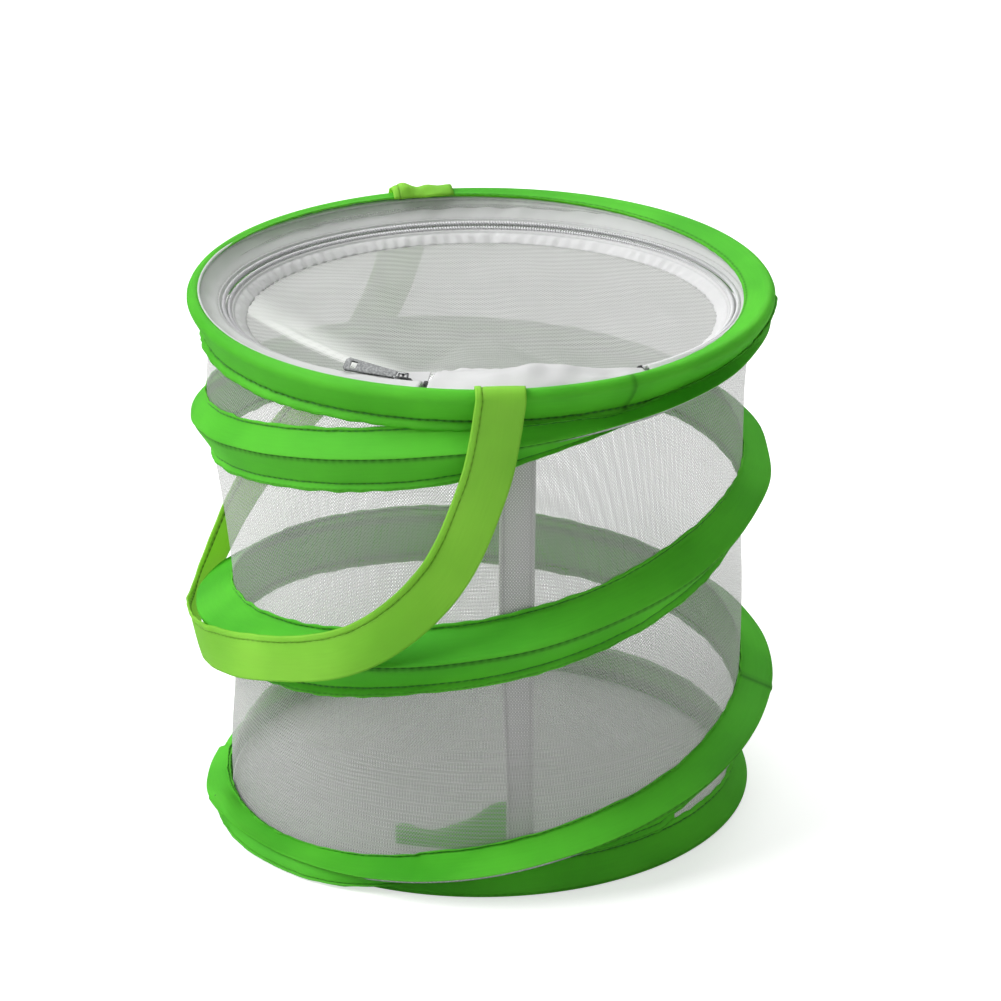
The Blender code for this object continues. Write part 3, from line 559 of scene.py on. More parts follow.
def top_place(u, v):
    angle = u * math.tau
    lip_radius, lip_z = rim_lip(angle)
    inner = np.clip(1 - v / crest_share, 0, 1)
    radius, rise = through(top_rows[:, 1:], top_rows[:, 0], v).T * mm
    radius = radius + inner * (lip_radius - lip_radius_mean)
    rise = rise + inner * (lip_z - lip_rise_mean)
    rise = rise - front_dip * np.maximum(np.cos(angle), 0)
    radius = radius + hem_lean * np.sin(angle) * ease((v - 0.6) / 0.4)
    rise = rise - 2.8 * mm * np.maximum(np.sin(angle), 0) ** 2 * ease((v - 0.55) / 0.45)
    ring = around(radius, angle, top_wire_z + rise)
    hem = ease((v - 0.80) / 0.12)
    radius = radius + ripple(ring, 9 * mm, 1) * hem * 0.45 * mm
    radius = radius + ripple(ring, 60 * mm, 2) * 0.4 * mm * ease((v - 0.4) / 0.3)
    radius = radius + near_joint(angle, top_joint) * 0.6 * mm * ease((v - 0.4) / 0.2)
    rise = rise + ripple(ring, 14 * mm, 4) * 0.55 * mm * ease((v - 0.93) / 0.07)
    rise = rise + ripple(ring, 8 * mm, 6) * 0.3 * mm * ease((0.12 - v) / 0.12)
    return around(radius, angle, top_wire_z + rise)


top_cut = (math.tau * 146 * mm, 38 * mm)
casing_wall = 0.7 * mm
top_casing = sewn(
    "top_casing", top_place, top_cut, (560, 52), top_creases, joints=((1 + top_joint / math.tau, 0.0016, 0.5),),
    joined=True, thickness=casing_wall, side=-1.0,
)
wear(top_casing, casing_green, "top")
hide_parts("top_binding")

bottom_wire_z = 3 * mm
bottom_wire_radius = 138.5 * mm
bottom_rows = np.array([
    (0.0, -3.9, 17.2), (0.02, -3.5, 16.8), (0.05, -3.0, 15.9), (0.09, -3.2, 14.7), (0.12, -3.9, 13.6),
    (0.15, -3.3, 12.6), (0.28, -1.2, 9.3), (0.42, 0.9, 5.6), (0.55, 2.5, 2.2), (0.62, 3.1, 0.2),
    (0.69, 2.7, -1.4), (0.78, 1.0, -2.5), (0.9, -3.2, -2.7), (1.0, -5.4, -2.75),
])
bottom_face = bottom_rows[11::-1]  # from its foot up
bottom_creases = ((0.12, 0.014, 0.95), (0.64, 0.015, 0.35))
pressed_above = 2.2 * mm


def pressed(angle):
    """On the left the spiral's end lies over the bottom hoop and presses its casing down."""
    left = half_turn(angle)
    return 0.78 * ease((left - 0.12) / 0.55) * (1 - ease((left - 1.6) / 0.6))


def bottom_place(u, v):
    angle = u * math.tau
    spread, rise = through(bottom_rows[:, 1:], bottom_rows[:, 0], v).T * mm
    rise = rise - np.maximum(rise - pressed_above, 0) * pressed(angle)
    radius = bottom_wire_radius + spread
    ring = around(radius, angle, bottom_wire_z + rise)
    hem = ease((0.2 - v) / 0.12)
    radius = radius + ripple(ring, 9 * mm, 7) * hem * 0.4 * mm
    z = bottom_wire_z + rise + ripple(ring, 12 * mm, 8) * 0.4 * mm * ease((0.07 - v) / 0.07)
    radius = radius + ripple(ring, 55 * mm, 9) * 0.3 * mm * ease((0.7 - v) / 0.3)
    return around(radius, angle, np.maximum(z, 0.25 * mm))


bottom_cut = (math.tau * 139 * mm, 32 * mm)
bottom_casing = sewn(
    "bottom_casing", bottom_place, bottom_cut, (520, 46), bottom_creases,
    joined=True, thickness=casing_wall, side=-1.0,
)
wear(bottom_casing, casing_green, "base")
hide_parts("bottom_binding")


# Stitching of the hoop casings
# Lockstitch in green polyester thread, about six stitches to the inch, pulled
# tight so that it lies sunk in the hem.
def unit_length(rows):
    return rows / np.linalg.norm(rows, axis=1)[:, None]


def put(name, data):
    """A new object in the scene, made of this data."""
    made = bpy.data.objects.new(name, data)
    bpy.context.collection.objects.link(made)
    return made


def close_smooth():
    """Ends the work on an open mesh: its faces look outward and are shaded smooth."""
    bpy.ops.mesh.normals_make_consistent(inside=False)
    bpy.ops.object.mode_set(mode="OBJECT")
    bpy.ops.object.shade_smooth()


def stitches(name, points, outward, length, radius, body):
    """One small thread stitch between each point and the next, lying along the row."""
    bpy.ops.object.select_all(action="DESELECT")
    bpy.ops.mesh.primitive_uv_sphere_add(segments=6, ring_count=4, radius=1)
    model = bpy.context.object
    bead = np.array([vertex.co for vertex in model.data.vertices])
    faces = [list(face.vertices) for face in model.data.polygons]
    bpy.data.objects.remove(model)
    ahead = unit_length(points[1:] - points[:-1])
    middle = (points[1:] + points[:-1]) / 2
    out = (outward[1:] + outward[:-1]) / 2
    out = unit_length(out - ahead * (out * ahead).sum(axis=1)[:, None])
    across = np.cross(out, ahead)
    corners, sides = [], []
    for centre, run, lift, cross in zip(middle, ahead, out, across):
        sides += [[index + len(corners) * len(bead) for index in face] for face in faces]
        girth = bead[:, :1] * cross * radius + bead[:, 1:2] * lift * radius
        corners.append(centre + bead[:, 2:3] * run * length / 2 + girth)
    mesh = bpy.data.meshes.new(name)
    mesh.from_pydata(np.concatenate(corners).tolist(), [], sides)
    mesh.update()
    row = put(name, mesh)
    open_mesh(row)
    close_smooth()
    wear(row, thread_green, body)
    return row


thread_green, thread_shader, thread_place = finish("thread_green", {"Sheen Weight": 0.3, "Specular IOR Level": 0.35})
twist = thread_place.scaled(1.0, 1.0, 1.6).noise(2400.0, 2.0)
feed(
    thread_shader, Base_Color=twist.tint((0.012, 0.14, 0.006), (0.03, 0.27, 0.012)), Roughness=twist * 0.2 + 0.45,
    Normal=twist.bump(0.5, 0.00005),
)


def ring_stitches(name, place, v, body, first=0.0, last=1.0):
    """Stitches on a band's line, a share v across it."""
    def line(count, share):
        return place(np.linspace(first, last, count), np.full(count, share))

    length = np.linalg.norm(np.diff(line(400, v), axis=0), axis=1).sum()
    count = int(length / stitch_pitch) + 1
    points = line(count, v)
    beside = line(count, v + 0.004) - line(count, v - 0.004)
    run = np.gradient(points, axis=0)
    out = unit_length(np.cross(run, beside))
    radial = points * np.array([1.0, 1.0, 0.0])
    out = out * np.sign((out * radial).sum(axis=1))[:, None]
    return stitches(name, points + out * 0.05 * mm, out, stitch_pitch * 0.66, 0.27 * mm, body)


ring_stitches("top_hem_stitches", top_place, 0.886, "top")
ring_stitches("bottom_hem_stitches", bottom_place, 0.12, "base")


# Spiral spring, its casing and caps
# A single sprung wire of nearly two and a half turns in a folded strip of the same
# green cloth, whose two hems are sewn to the net above and below the wire.
spiral_turns = 2.45
ridge_radius = 150 * mm
spiral_places = np.minimum(np.arange(11) / 4, spiral_turns)
spiral_falls = np.array([0.0, 0.077, 0.222, 0.282, 0.328, 0.505, 0.631, 0.713, 0.794, 0.966, 1.0])
spiral_start_z = 267 * mm
spiral_end_z = 9 * mm
top_hem_z = 257.5 * mm
bottom_hem_z = 20 * mm
spiral_joint = 2.022
over_wire = 4.4 * mm


def spiral_z(turn):
    return mix(spiral_start_z, spiral_end_z, through(spiral_falls, spiral_places, np.clip(turn, 0, spiral_turns)))


def ridge(turn):
    """The casing's ridge stands out further on the slack lower turns, and is drawn in at both ends."""
    slack = 3.5 * ease((turn - 1.65) / 0.3) - 4.4 * ease((turn - 2.22) / 0.2)
    return ridge_radius + (slack - 2.0 * ease((0.12 - turn) / 0.12)) * mm


def crease_lift(turn):
    """The ridge runs higher where the last turn comes down in front, and low where it lies on the hoop."""
    return through((1.3, 1.3, 3.5, 3.3, 0.8, -1.5, -1.5), (-0.1, 2.0, 2.1, 2.19, 2.26, 2.33, 2.6), turn) * mm


def on_face(rows, z):
    """A casing's outer radius at a height."""
    return np.interp(z, rows[:, 2] * mm, rows[:, 1] * mm)


def foot(angle, z, turn):
    """Where a hem lies: on the net, or over a hoop casing; past the handle it is tucked in under the top hem."""
    on_net = net_radius(angle, z) + 0.25 * mm
    over_top = ease((z - (top_hem_z - 3 * mm)) / (2 * mm)) * (1 - ease((turn - 0.228) / 0.02))
    over_bottom = ease((bottom_hem_z + 3 * mm - z) / (2 * mm))
    side = np.sin(angle) * ease((top_wire_z - 6 * mm - z) / (14 * mm))
    on_top = on_face(outer_face, z + 2.6 * mm * np.maximum(side, 0) ** 2 - top_wire_z) + casing_wall + hem_lean * side
    up = z - bottom_wire_z
    up = up + np.maximum(up - pressed_above, 0) * (1 / (1 - pressed(angle)) - 1)
    on_bottom = bottom_wire_radius + 0.6 * mm + on_face(bottom_face, up)
    return np.maximum(on_net, np.maximum(on_top * over_top, on_bottom * over_bottom))


casing_shares = np.array([
    0.0, 0.03, 0.075, 0.11, 0.24, 0.38, 0.44, 0.475, 0.505, 0.56, 0.72, 0.86, 0.885, 0.93, 0.97, 1.0,
])
casing_creases = (
    (0.072, 0.013, 1.0), (0.505, 0.012, 0.9), (0.53, 0.03, 0.4), (0.878, 0.013, 1.0), (0.955, 0.01, 0.5),
)
casing_before_start, casing_past_end = 0.012, 0.075
last_hem = np.array([
    (1.95, 82), (2.0, 74), (2.039, 66.5), (2.08, 60), (2.107, 54), (2.148, 45.5), (2.183, 39), (2.214, 33),
    (2.25, 27), (2.289, 21), (2.306, 18.3), (2.322, 15.8), (2.339, 13.8), (2.358, 12.1), (2.381, 10.4),
    (2.408, 9.0), (2.45, 8.8), (2.525, 8.4),
])


def casing_place(u, v):
    """The casing's section turn by turn: a hem above the wire and one below, sewn to the net or lapped
    over a hoop's casing, with the cloth drawn over the ridge between them."""
    turn = mix(-casing_before_start, spiral_turns + casing_past_end, u)
    angle = turn * math.tau - math.pi / 2
    z = spiral_z(turn)
    shut = ease((0.012 - turn) / 0.024)
    tail = ease((turn - spiral_turns) / casing_past_end)
    splay = ease((turn - 2.265) / 0.09)
    top = mix(ridge(turn), foot(angle, z, turn) + 1.6 * mm, shut) - 5.7 * mm * tail
    front_c = ease((turn - 1.02) / 0.08) * (1 - ease((turn - 1.27) / 0.1))
    above = (14.5 + 2.0 * front_c - 5.8 * shut - 4.0 * hill(turn, 1.0, 0.05)) * mm
    left_c = ease((turn - 1.27) / 0.1) * (1 - ease((turn - 1.45) / 0.12))
    below = mix(over_wire, 19.5 * mm, ease((turn - 0.14) / 0.16)) + (1.6 * front_c + 6.0 * left_c - 1.8 * shut) * mm
    tucked = ease((turn - 0.15) / 0.05) * 3.2 * mm
    lap = 3.2 * mm * (1 - ease(turn / 0.07)) * (1 - shut)
    raised = 1.5 * mm * np.maximum(-np.sin(angle), 0) ** 2 * (1 - shut)
    upper = np.minimum(z + above, np.maximum(top_hem_z - 1.1 * mm + tucked + raised, z + over_wire + lap))
    last_start = last_hem[0, 0]
    last = through(last_hem[:, 1], last_hem[:, 0], np.maximum(turn, last_start)) * mm
    upper = mix(upper, last, ease((turn - last_start) / 0.08))
    lapped = 2.8 * mm * ease((turn - 2.07) / 0.04)
    lower = np.maximum(z - below, np.minimum(bottom_hem_z + 1.1 * mm - lapped, z - over_wire))
    lower = mix(lower, 1.0 * mm, splay)
    foot_up = foot(angle, upper, turn)
    foot_down = mix(foot(angle, lower, turn), 149.6 * mm - 6.6 * mm * ease((turn - 2.385) / 0.095), splay)
    middle = z + crease_lift(turn) - 3.0 * mm * tail
    high, low = upper - middle, middle - lower
    capped = 3.4 * mm * hill(turn, spiral_turns - 0.006, 0.016)
    knots_r = [
        *(foot_up + puff * mm for puff in (0.7, 1.3, 0.5, 0.8)), mix(foot_up, top, 0.44), mix(foot_up, top, 0.88),
        *(top - sunk * mm for sunk in (0.25, 0, 1.1, 1.7)), mix(foot_down, top, 0.42),
        *(foot_down + puff * mm for puff in (1.2, 0.45, 1.5, 1.6, 0.8)),
    ]
    knots_z = [
        upper, *(upper - share * high for share in (0.055, 0.15, 0.23)),
        middle + 0.48 * high + capped, middle + 0.16 * high + capped, middle + 0.06 * high, middle, middle - 0.7 * mm,
        *(middle - share * low for share in (0.14, 0.48, 0.76, 0.80, 0.89, 0.96)), lower,
    ]
    radius = band_curve(np.stack(knots_r), v)
    height = band_curve(np.stack(knots_z), v)
    ring = around(radius, angle, height)
    hem_up, hem_down = ease((0.16 - v) / 0.1), ease((v - 0.80) / 0.1)
    face = np.sin(np.clip(v, 0, 1) * math.pi)
    radius = radius + ripple(ring, 10 * mm, 11) * 0.36 * mm * (hem_up + hem_down)
    radius = radius + ripple(ring, 48 * mm, 12) * 0.55 * mm * face
    radius = radius + 0.7 * mm * near_joint(turn, spiral_joint, 0.0025)
    height = height + ripple(ring, 13 * mm, 13) * 0.45 * mm * (ease((0.05 - v) / 0.05) + ease((v - 0.95) / 0.05))
    return around(radius, angle, np.maximum(height, 0.9 * mm))


def band_curve(knots, v):
    """Each point's own smooth curve across the band, through that point's knots."""
    last = len(casing_shares) - 1
    step = np.clip(np.searchsorted(casing_shares, v, side="right") - 1, 0, last - 1)
    pick = np.arange(knots.shape[1])

    def slope(k):
        low, high = np.maximum(k - 1, 0), np.minimum(k + 1, last)
        return (knots[high, pick] - knots[low, pick]) / (casing_shares[high] - casing_shares[low])

    width = casing_shares[step + 1] - casing_shares[step]
    share = (v - casing_shares[step]) / width
    return bend(share, width, knots[step, pick], slope(step), knots[step + 1, pick], slope(step + 1))


spiral_cut = ((spiral_turns + casing_past_end) * math.tau * 146 * mm, 45 * mm)
joint_share = (spiral_joint + casing_before_start) / (spiral_turns + casing_before_start + casing_past_end)
spiral_casing = sewn(
    "spiral_casing", casing_place, spiral_cut, (960, 50), casing_creases, joints=((joint_share, 0.0007, 0.6),),
    thickness=0.6 * mm, side=-1.0,
)
wear(spiral_casing, casing_green, "base")
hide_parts("spiral_binding")
flatten(spiral_casing)
for row_name, share, first_share, last_share in (
    ("spiral_upper_stitches", 0.072, 0.01, 0.99), ("spiral_lower_stitches", 0.879, 0.07, 0.985),
):
    flatten(ring_stitches(row_name, casing_place, share, "base", first_share, last_share))


def rod(name, points, radius, resolution=2):
    """A round wire or thread along a path, made from a bevelled curve."""
    curve = bpy.data.curves.new(name, "CURVE")
    curve.dimensions = "3D"
    curve.bevel_depth = radius
    curve.bevel_resolution = resolution
    curve.use_fill_caps = True
    spline = curve.splines.new("POLY")
    spline.points.add(len(points) - 1)
    spline.points.foreach_set("co", np.column_stack([points, np.ones(len(points))]).ravel())
    wire = put(name, curve)
    bpy.ops.object.select_all(action="DESELECT")
    wire.select_set(True)
    bpy.context.view_layer.objects.active = wire
    bpy.ops.object.convert(target="MESH")
    open_mesh(bpy.context.object)
    bpy.ops.mesh.remove_doubles(threshold=0.001 * mm)
    close_smooth()
    return bpy.context.object


wire_turns = np.linspace(0.0012, spiral_turns - 0.0012, 500)
spring = rod(
    "spiral_spring",
    around(
        ridge(wire_turns) - 3 * mm, wire_turns * math.tau - math.pi / 2,
        spiral_z(wire_turns) + crease_lift(wire_turns) - 1.3 * mm,
    ),
    1.1 * mm,
)
wear(spring, drawn_wire, "base")
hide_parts("spiral_wire")
flatten(spring)
cap_black, cap_shader, cap_place = finish("cap_black", {})
cap_cloud = cap_place.noise(700.0)
feed(
    cap_shader, Base_Color=cap_cloud.tint((0.02, 0.02, 0.02), (0.06, 0.06, 0.06)), Roughness=cap_cloud * 0.2 + 0.4,
    Normal=cap_cloud.bump(0.2, 0.0001),
)
dress(cap_black, "spiral_cap_top", "spiral_cap_bottom")


# Zip
# A nylon coil zip on woven tape runs round under the rim, in a circle that is
# high at the front. The outer tape is sewn to the rim and the inner to the lid.
zip_radius = 130 * mm
zip_centre = np.array([0.0, 0.0, top_wire_z - 7.75 * mm])
zip_tilt = math.asin(4.75 / 130)
zip_slope = math.radians(35)
zip_first, zip_last = math.radians(12), math.radians(323)
hinge_distance = 110.2 * mm
hinge_angle = math.radians(-2)
hinge_z = top_wire_z - 2.4 * mm
tape_start = 3.2 * mm
coil_gap = 0.0023
coil_offset = 1.7 * mm


def on_track(angle, across, up=0.0):
    """Beside the zip: across is up the slope towards the rim, up is off the slope."""
    radius = zip_radius + across * math.cos(zip_slope) - up * math.sin(zip_slope)
    flat = around(radius, angle, across * math.sin(zip_slope) + up * math.cos(zip_slope))
    y, z = flat[..., 1], flat[..., 2]
    tilted_y = y * math.cos(zip_tilt) + z * math.sin(zip_tilt)
    tilted_z = z * math.cos(zip_tilt) - y * math.sin(zip_tilt)
    return np.stack([flat[..., 0], tilted_y, tilted_z], axis=-1) + zip_centre


def coil(name, angles, side, body, node):
    """One side of the zip: nylon thread wound round a cord."""
    length = abs(angles[1] - angles[0]) * zip_radius
    pitch, steps = 1.5 * mm, 8
    turns = int(length / pitch)
    share = np.linspace(0, 1, turns * steps + 1)
    angle = mix(angles[0], angles[1], share)
    wind = share * turns * math.tau
    loops = on_track(angle, side * coil_offset + np.cos(wind) * 0.9 * mm, np.sin(wind) * 0.85 * mm)
    winding = rod(name, loops, 0.36 * mm, resolution=1)
    core_angle = mix(angles[0], angles[1], np.linspace(0, 1, 200))
    core = rod(name + "_cord", on_track(core_angle, side * coil_offset), 0.62 * mm)
    for piece in (winding, core):
        wear(piece, nylon_white, body)
    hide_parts(node)


nylon_white, nylon_shader, nylon_place = finish("nylon_white", {"Coat Roughness": 0.25})
nylon_cloud = nylon_place.noise(500.0)
feed(
    nylon_shader, Base_Color=nylon_cloud.tint((0.56, 0.56, 0.57), (0.68, 0.68, 0.69)),
    Roughness=nylon_cloud * 0.15 + 0.3, Normal=nylon_cloud.bump(0.1, 0.00005),
)
hinge_half = math.acos(hinge_distance / zip_radius)
lid_first = hinge_angle + hinge_half
lid_last = math.tau + hinge_angle - hinge_half
coil("outer_coil", (zip_first, zip_last), 1, "top", "zip_outer_coil")
coil("inner_coil", (lid_first + coil_gap, lid_last - coil_gap), -1, "lid", "zip_inner_coil")
coil("inner_coil_end", (zip_first, lid_first - coil_gap), -1, "top", "zip_inner_coil_end")


def outer_tape_place(u, v):
    angle = mix(zip_first, zip_last, u)
    over = ease((np.sin(angle) + 0.45) / 0.5) * ease((np.cos(angle) + 0.75) / 0.5)
    lip_radius, lip_z = rim_lip(angle)
    lip_z = lip_z - front_dip * np.maximum(np.cos(angle), 0)
    high_radius = lip_radius + mix(1.6 * mm, 0.7 * mm, over)
    high = around(high_radius, angle, top_wire_z + lip_z + mix(-1.9 * mm, 1.1 * mm, over))
    low = on_track(angle, 6.0 * mm)
    beside = on_track(angle, 3.3 * mm, -0.4 * mm)
    under = on_track(angle, 0.35 * mm, -1.35 * mm)
    share = v[:, None]
    face = np.where(share < 0.6, mix(high, low, share / 0.6), mix(low, beside, (share - 0.6) / 0.2))
    face = np.where(share < 0.8, face, mix(beside, under, (share - 0.8) / 0.2))
    belly = -np.sin(np.clip(v / 0.6, 0, 1) * math.pi) * 0.8 * mm
    rib = 0.5 * mm * hill(v, 0.70, 0.03) + 0.5 * mm * hill(v, 0.045, 0.03)
    gather = ripple(face, 16 * mm, 15) * 0.35 * mm * np.sin(np.clip(v / 0.8, 0, 1) * math.pi)
    inward = around(-1.0, angle, 0.5)
    return face + inward * (rib + gather + belly)[:, None]


def towards_axis(point):
    return Vector((-point.x, -point.y, 0.05))


zip_tape_white = woven_finish(
    "zip_tape_white", (0.75, 0.745, 0.755), (0.65, 0.645, 0.655), white_glow, tape_thread, 0.1
)
outer_tape_cut = (0.73, 17 * mm)
outer_tape = sewn(
    "outer_zip_tape", outer_tape_place, outer_tape_cut, (420, 32), ((0.10, 0.03, 0.25), (0.66, 0.022, 0.35)),
    outward=towards_axis,
)
wear(outer_tape, zip_tape_white, "top")
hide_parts("zip_outer_tape")


# Lid
# A round of the same net in a border of woven tape, gathered onto the inner zip
# tape; a straight stretch at the front is left unzipped and acts as its hinge.
def lid_edge(angle, across, hinge_offset, level):
    """The lid's edge: on the zip's cone, or along a line beside the hinge."""
    off = half_turn(angle - hinge_angle)
    share = np.cos(off)
    radius = zip_radius + across * math.cos(zip_slope)
    line = hinge_distance - hinge_offset
    cut = (share > 0.01) & (line / np.maximum(share, 0.01) < radius)
    reach = np.where(cut, line / np.where(cut, share, 1.0), radius)
    cone = on_track(angle, (reach - zip_radius) / math.cos(zip_slope))
    half = np.arccos(np.clip(line / radius, -1, 1))
    raised = np.where(cut, ease(1 - (off / half) ** 2), 0.0)
    on_line = around(reach, angle, mix(cone[..., 2], level, raised))
    return np.where(cut[..., None], on_line, cone)


lid_tape_width = 9.5 * mm
lid_inner_across = -tape_start - lid_tape_width
lid_band_level = top_wire_z - 5 * mm
pleats = 108


def lid_tape_place(u, v):
    angle = u * math.tau
    outer = lid_edge(angle, -tape_start + 0.4 * mm, 0.4 * mm, hinge_z - 0.2 * mm)
    inner = lid_edge(angle, lid_inner_across, 9.2 * mm, lid_band_level)
    off = half_turn(angle - hinge_angle)
    zipped = ease((np.abs(off) - hinge_half - 0.01) / 0.03)[:, None]
    under = mix(outer, on_track(angle, -0.35 * mm, -1.35 * mm), zipped)
    share = v[:, None]
    face = np.where(share < 0.2, mix(under, outer, share / 0.2), mix(outer, inner, (share - 0.2) / 0.8))
    pleat = np.sin(angle * pleats + 4.5 * ripple(face, 45 * mm, 17)) * (0.45 + 0.4 * ripple(face, 60 * mm, 22))
    pleat = pleat + ripple(face, 13 * mm, 18) * 0.5
    loose = ease((v - 0.34) / 0.3)
    rib = 0.45 * mm * hill(v, 0.30, 0.04)
    face[:, 2] += pleat * loose * 0.8 * mm + rib + 0.5 * mm * np.sin(v * math.pi) * loose
    return face


def hinge_blend(piece):
    """Bakes the piece's transform into its mesh; the border stays sewn along the hinge."""
    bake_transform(piece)


lid_border_cut = (0.78, 12 * mm)
lid_border = sewn(
    "lid_border", lid_tape_place, lid_border_cut, (560, 26), ((0.24, 0.03, 0.25), (0.38, 0.03, 0.2)),
    joined=True, thickness=0.35 * mm, outward=upward,
)
wear(lid_border, zip_tape_white)
hinge_blend(lid_border)
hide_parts("lid_edge_tape")
lid_net_middle = top_wire_z - 24 * mm
lid_crease = np.array([0.8, 0.6, 0.0])
lid_crease_offset = -91.2 * mm


def lid_net_place(u, v):
    angle = u * math.tau
    edge = lid_edge(angle, lid_inner_across + 1.0 * mm, 8.4 * mm, lid_band_level)
    share = np.maximum(v, 0.003)
    point = edge * share[:, None]
    point[:, 2] = mix(lid_net_middle, edge[:, 2], share ** 2)
    off = point @ lid_crease - lid_crease_offset
    fold = 2.4 * mm * hill(off, 0, 3.5 * mm) + 1.2 * mm * ease((off + 4 * mm) / (8 * mm))
    slack = ripple(point, 85 * mm, 19) * 1.6 * mm + ripple(point, 30 * mm, 20) * 0.5 * mm
    point[:, 2] += (slack + fold) * ease((1 - share) / 0.25)
    return point


lid_net_white = net_finish(
    "lid_net_white", cell=(1.9 * mm, 2.4 * mm), thread=0.19, cover=0.56, veil=0.56, tone=(0.62, 0.62, 0.615),
    course=6.0 * mm, tuck=(lid_crease[0], lid_crease[1], lid_crease_offset),
)
lid_net_size = 2 * 118 * mm
lid_net = lay(
    cut_cloth("lid_net_panel", 240, 60), lid_net_place, (lid_net_size, lid_net_size), upward, joined=True
)
write_uv(lid_net.data, read_points(lid_net.data)[:, :2])
wear(lid_net, lid_net_white)
hinge_blend(lid_net)
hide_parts("lid_net")


# Lid hinge cloth
# White woven tape. Where the zip stops short at the front, a spare length of it
# is bunched and sewn down between the rim and the lid.
gusset_gap = 0.025
gusset_first, gusset_last = zip_last - math.tau + gusset_gap, zip_first - gusset_gap


def hinge_line(angle):
    """Points on the line on which the lid turns, just outside the border."""
    return around((hinge_distance + 0.4 * mm) / np.cos(angle - hinge_angle), angle, hinge_z)


def gusset_place(u, v):
    angle = mix(gusset_first, gusset_last, u)
    outer = around(144.6 * mm, angle, top_wire_z - 0.9 * mm)
    point = mix(outer, hinge_line(angle), v[:, None])
    hump = np.sin(v * math.pi) ** 0.8
    bunch = hill(u, 0.5, 0.27)
    fold = np.sin(v * math.pi * 3 + 5 * u) * 0.5 * mm
    point[:, 2] += hump * (1.0 + 6.4 * bunch) * mm + (fold + ripple(point, 16 * mm, 21) * 0.8 * mm) * hump
    return point


hinge_cut = (0.155, 34 * mm)
hinge_cloth = sewn("hinge_cloth", gusset_place, hinge_cut, (150, 34), outward=upward)
wear(hinge_cloth, zip_tape_white, "top")
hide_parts("lid_gusset")


def end_tape_place(u, v):
    angle = mix(zip_first, lid_first - 0.004, u)
    edge = on_track(angle, -tape_start + 0.4 * mm)
    flat = on_track(angle, -tape_start - 2.0 * mm)
    share = v[:, None]
    return np.where(share < 0.3, mix(edge, flat, share / 0.3), mix(flat, hinge_line(angle), (share - 0.3) / 0.7))


end_tape_cut = (45 * mm, 12 * mm)
end_tape = sewn("zip_end_cloth", end_tape_place, end_tape_cut, (60, 16), outward=upward)
wear(end_tape, zip_tape_white, "top")
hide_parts("zip_end_tape")


# Slider and pull tab
# Die-cast metal, lacquered dark grey, with broken edges that catch the light. The
# slider runs on both coils, and the tab hangs slack in its bridge.
def eased_copy(name, node, width, body, roll=0.0, pivot=None):
    """A merged copy of a CAD node with its edges rounded, rolled in its loop where it hangs slack."""
    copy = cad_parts[node].copy()
    copy.data = copy.data.copy()
    bpy.context.collection.objects.link(copy)
    for key in list(copy.keys()):
        del copy[key]
    copy.parent = None
    copy.matrix_world = Matrix.Identity(4)
    copy.name = name
    open_mesh(copy)
    bpy.ops.mesh.remove_doubles(threshold=0.002 * mm)
    bpy.ops.mesh.dissolve_limited(angle_limit=math.radians(1))
    bpy.ops.object.mode_set(mode="OBJECT")
    edge = copy.modifiers.new("edge", "BEVEL")
    edge.width = width
    edge.segments = 3
    edge.limit_method = "ANGLE"
    edge.angle_limit = math.radians(30)
    bpy.ops.object.modifier_apply(modifier="edge")
    bpy.ops.object.shade_smooth_by_angle(angle=math.radians(40))
    if roll:
        points = [vertex.co for vertex in copy.data.vertices]
        along = sum(points, Vector()) / len(points) - pivot
        turn = Matrix.Translation(pivot) @ Matrix.Rotation(roll, 4, along) @ Matrix.Translation(-pivot)
        copy.data.transform(turn)
    wear(copy, zip_alloy, body)
    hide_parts(node)


eased_copy("slider_body", "zip_slider", 0.15 * mm, "slider")
tab_pivot = Vector((-37.44, -122.27, 276.51)) * mm
eased_copy("pull_tab_plate", "zip_pull_tab", 0.28 * mm, "pull_tab", math.radians(-58), tab_pivot)


# Handle
# A long strap of lighter green cloth, folded flat and hemmed along one edge, its
# two ends laid over the top hoop and sewn down. It hangs down the left side.
handle_width = 24.5 * mm
handle_front, handle_back = math.radians(-3.8), math.radians(165.3)
handle_angles = mix(handle_front, handle_back, np.array([
    0.0, 0.006, 0.0195, 0.058, 0.1165, 0.188, 0.300, 0.436, 0.555,
    0.614, 0.691, 0.791, 0.904, 0.945, 0.9745, 0.993, 1.0,
]))
handle_hang = 186 * mm
handle_drops = handle_hang * np.array([
    0.0, 0.1075, 0.253, 0.484, 0.656, 0.769, 0.855, 0.941, 1.0,
    0.989, 0.903, 0.726, 0.527, 0.403, 0.269, 0.118, 0.0,
])


def handle_centre(place):
    places = np.linspace(0, 1, len(handle_angles))
    angle = through(handle_angles, places, place)
    settled = ease(np.minimum(place, 1 - place) / 0.14)
    tuck = np.sin(math.pi * np.clip((place - 0.38) / 0.20, 0, 1)) ** 2
    radius = mix(152.2 * mm, 153 * mm, settled) - 2.2 * mm * tuck
    return angle, radius, top_wire_z - through(handle_drops, places, place), tuck


front_end = ((142.9, 0.2), (144.1, 1.8), (146.2, 3.2), (148.5, 3.1), (150.7, 1.4), (151.9, -1.8))
back_end = ((139.4, 1.6), (141.4, 3.0), (144.8, 4.3), (148.0, 4.0), (150.6, 2.2), (151.9, -1.5))


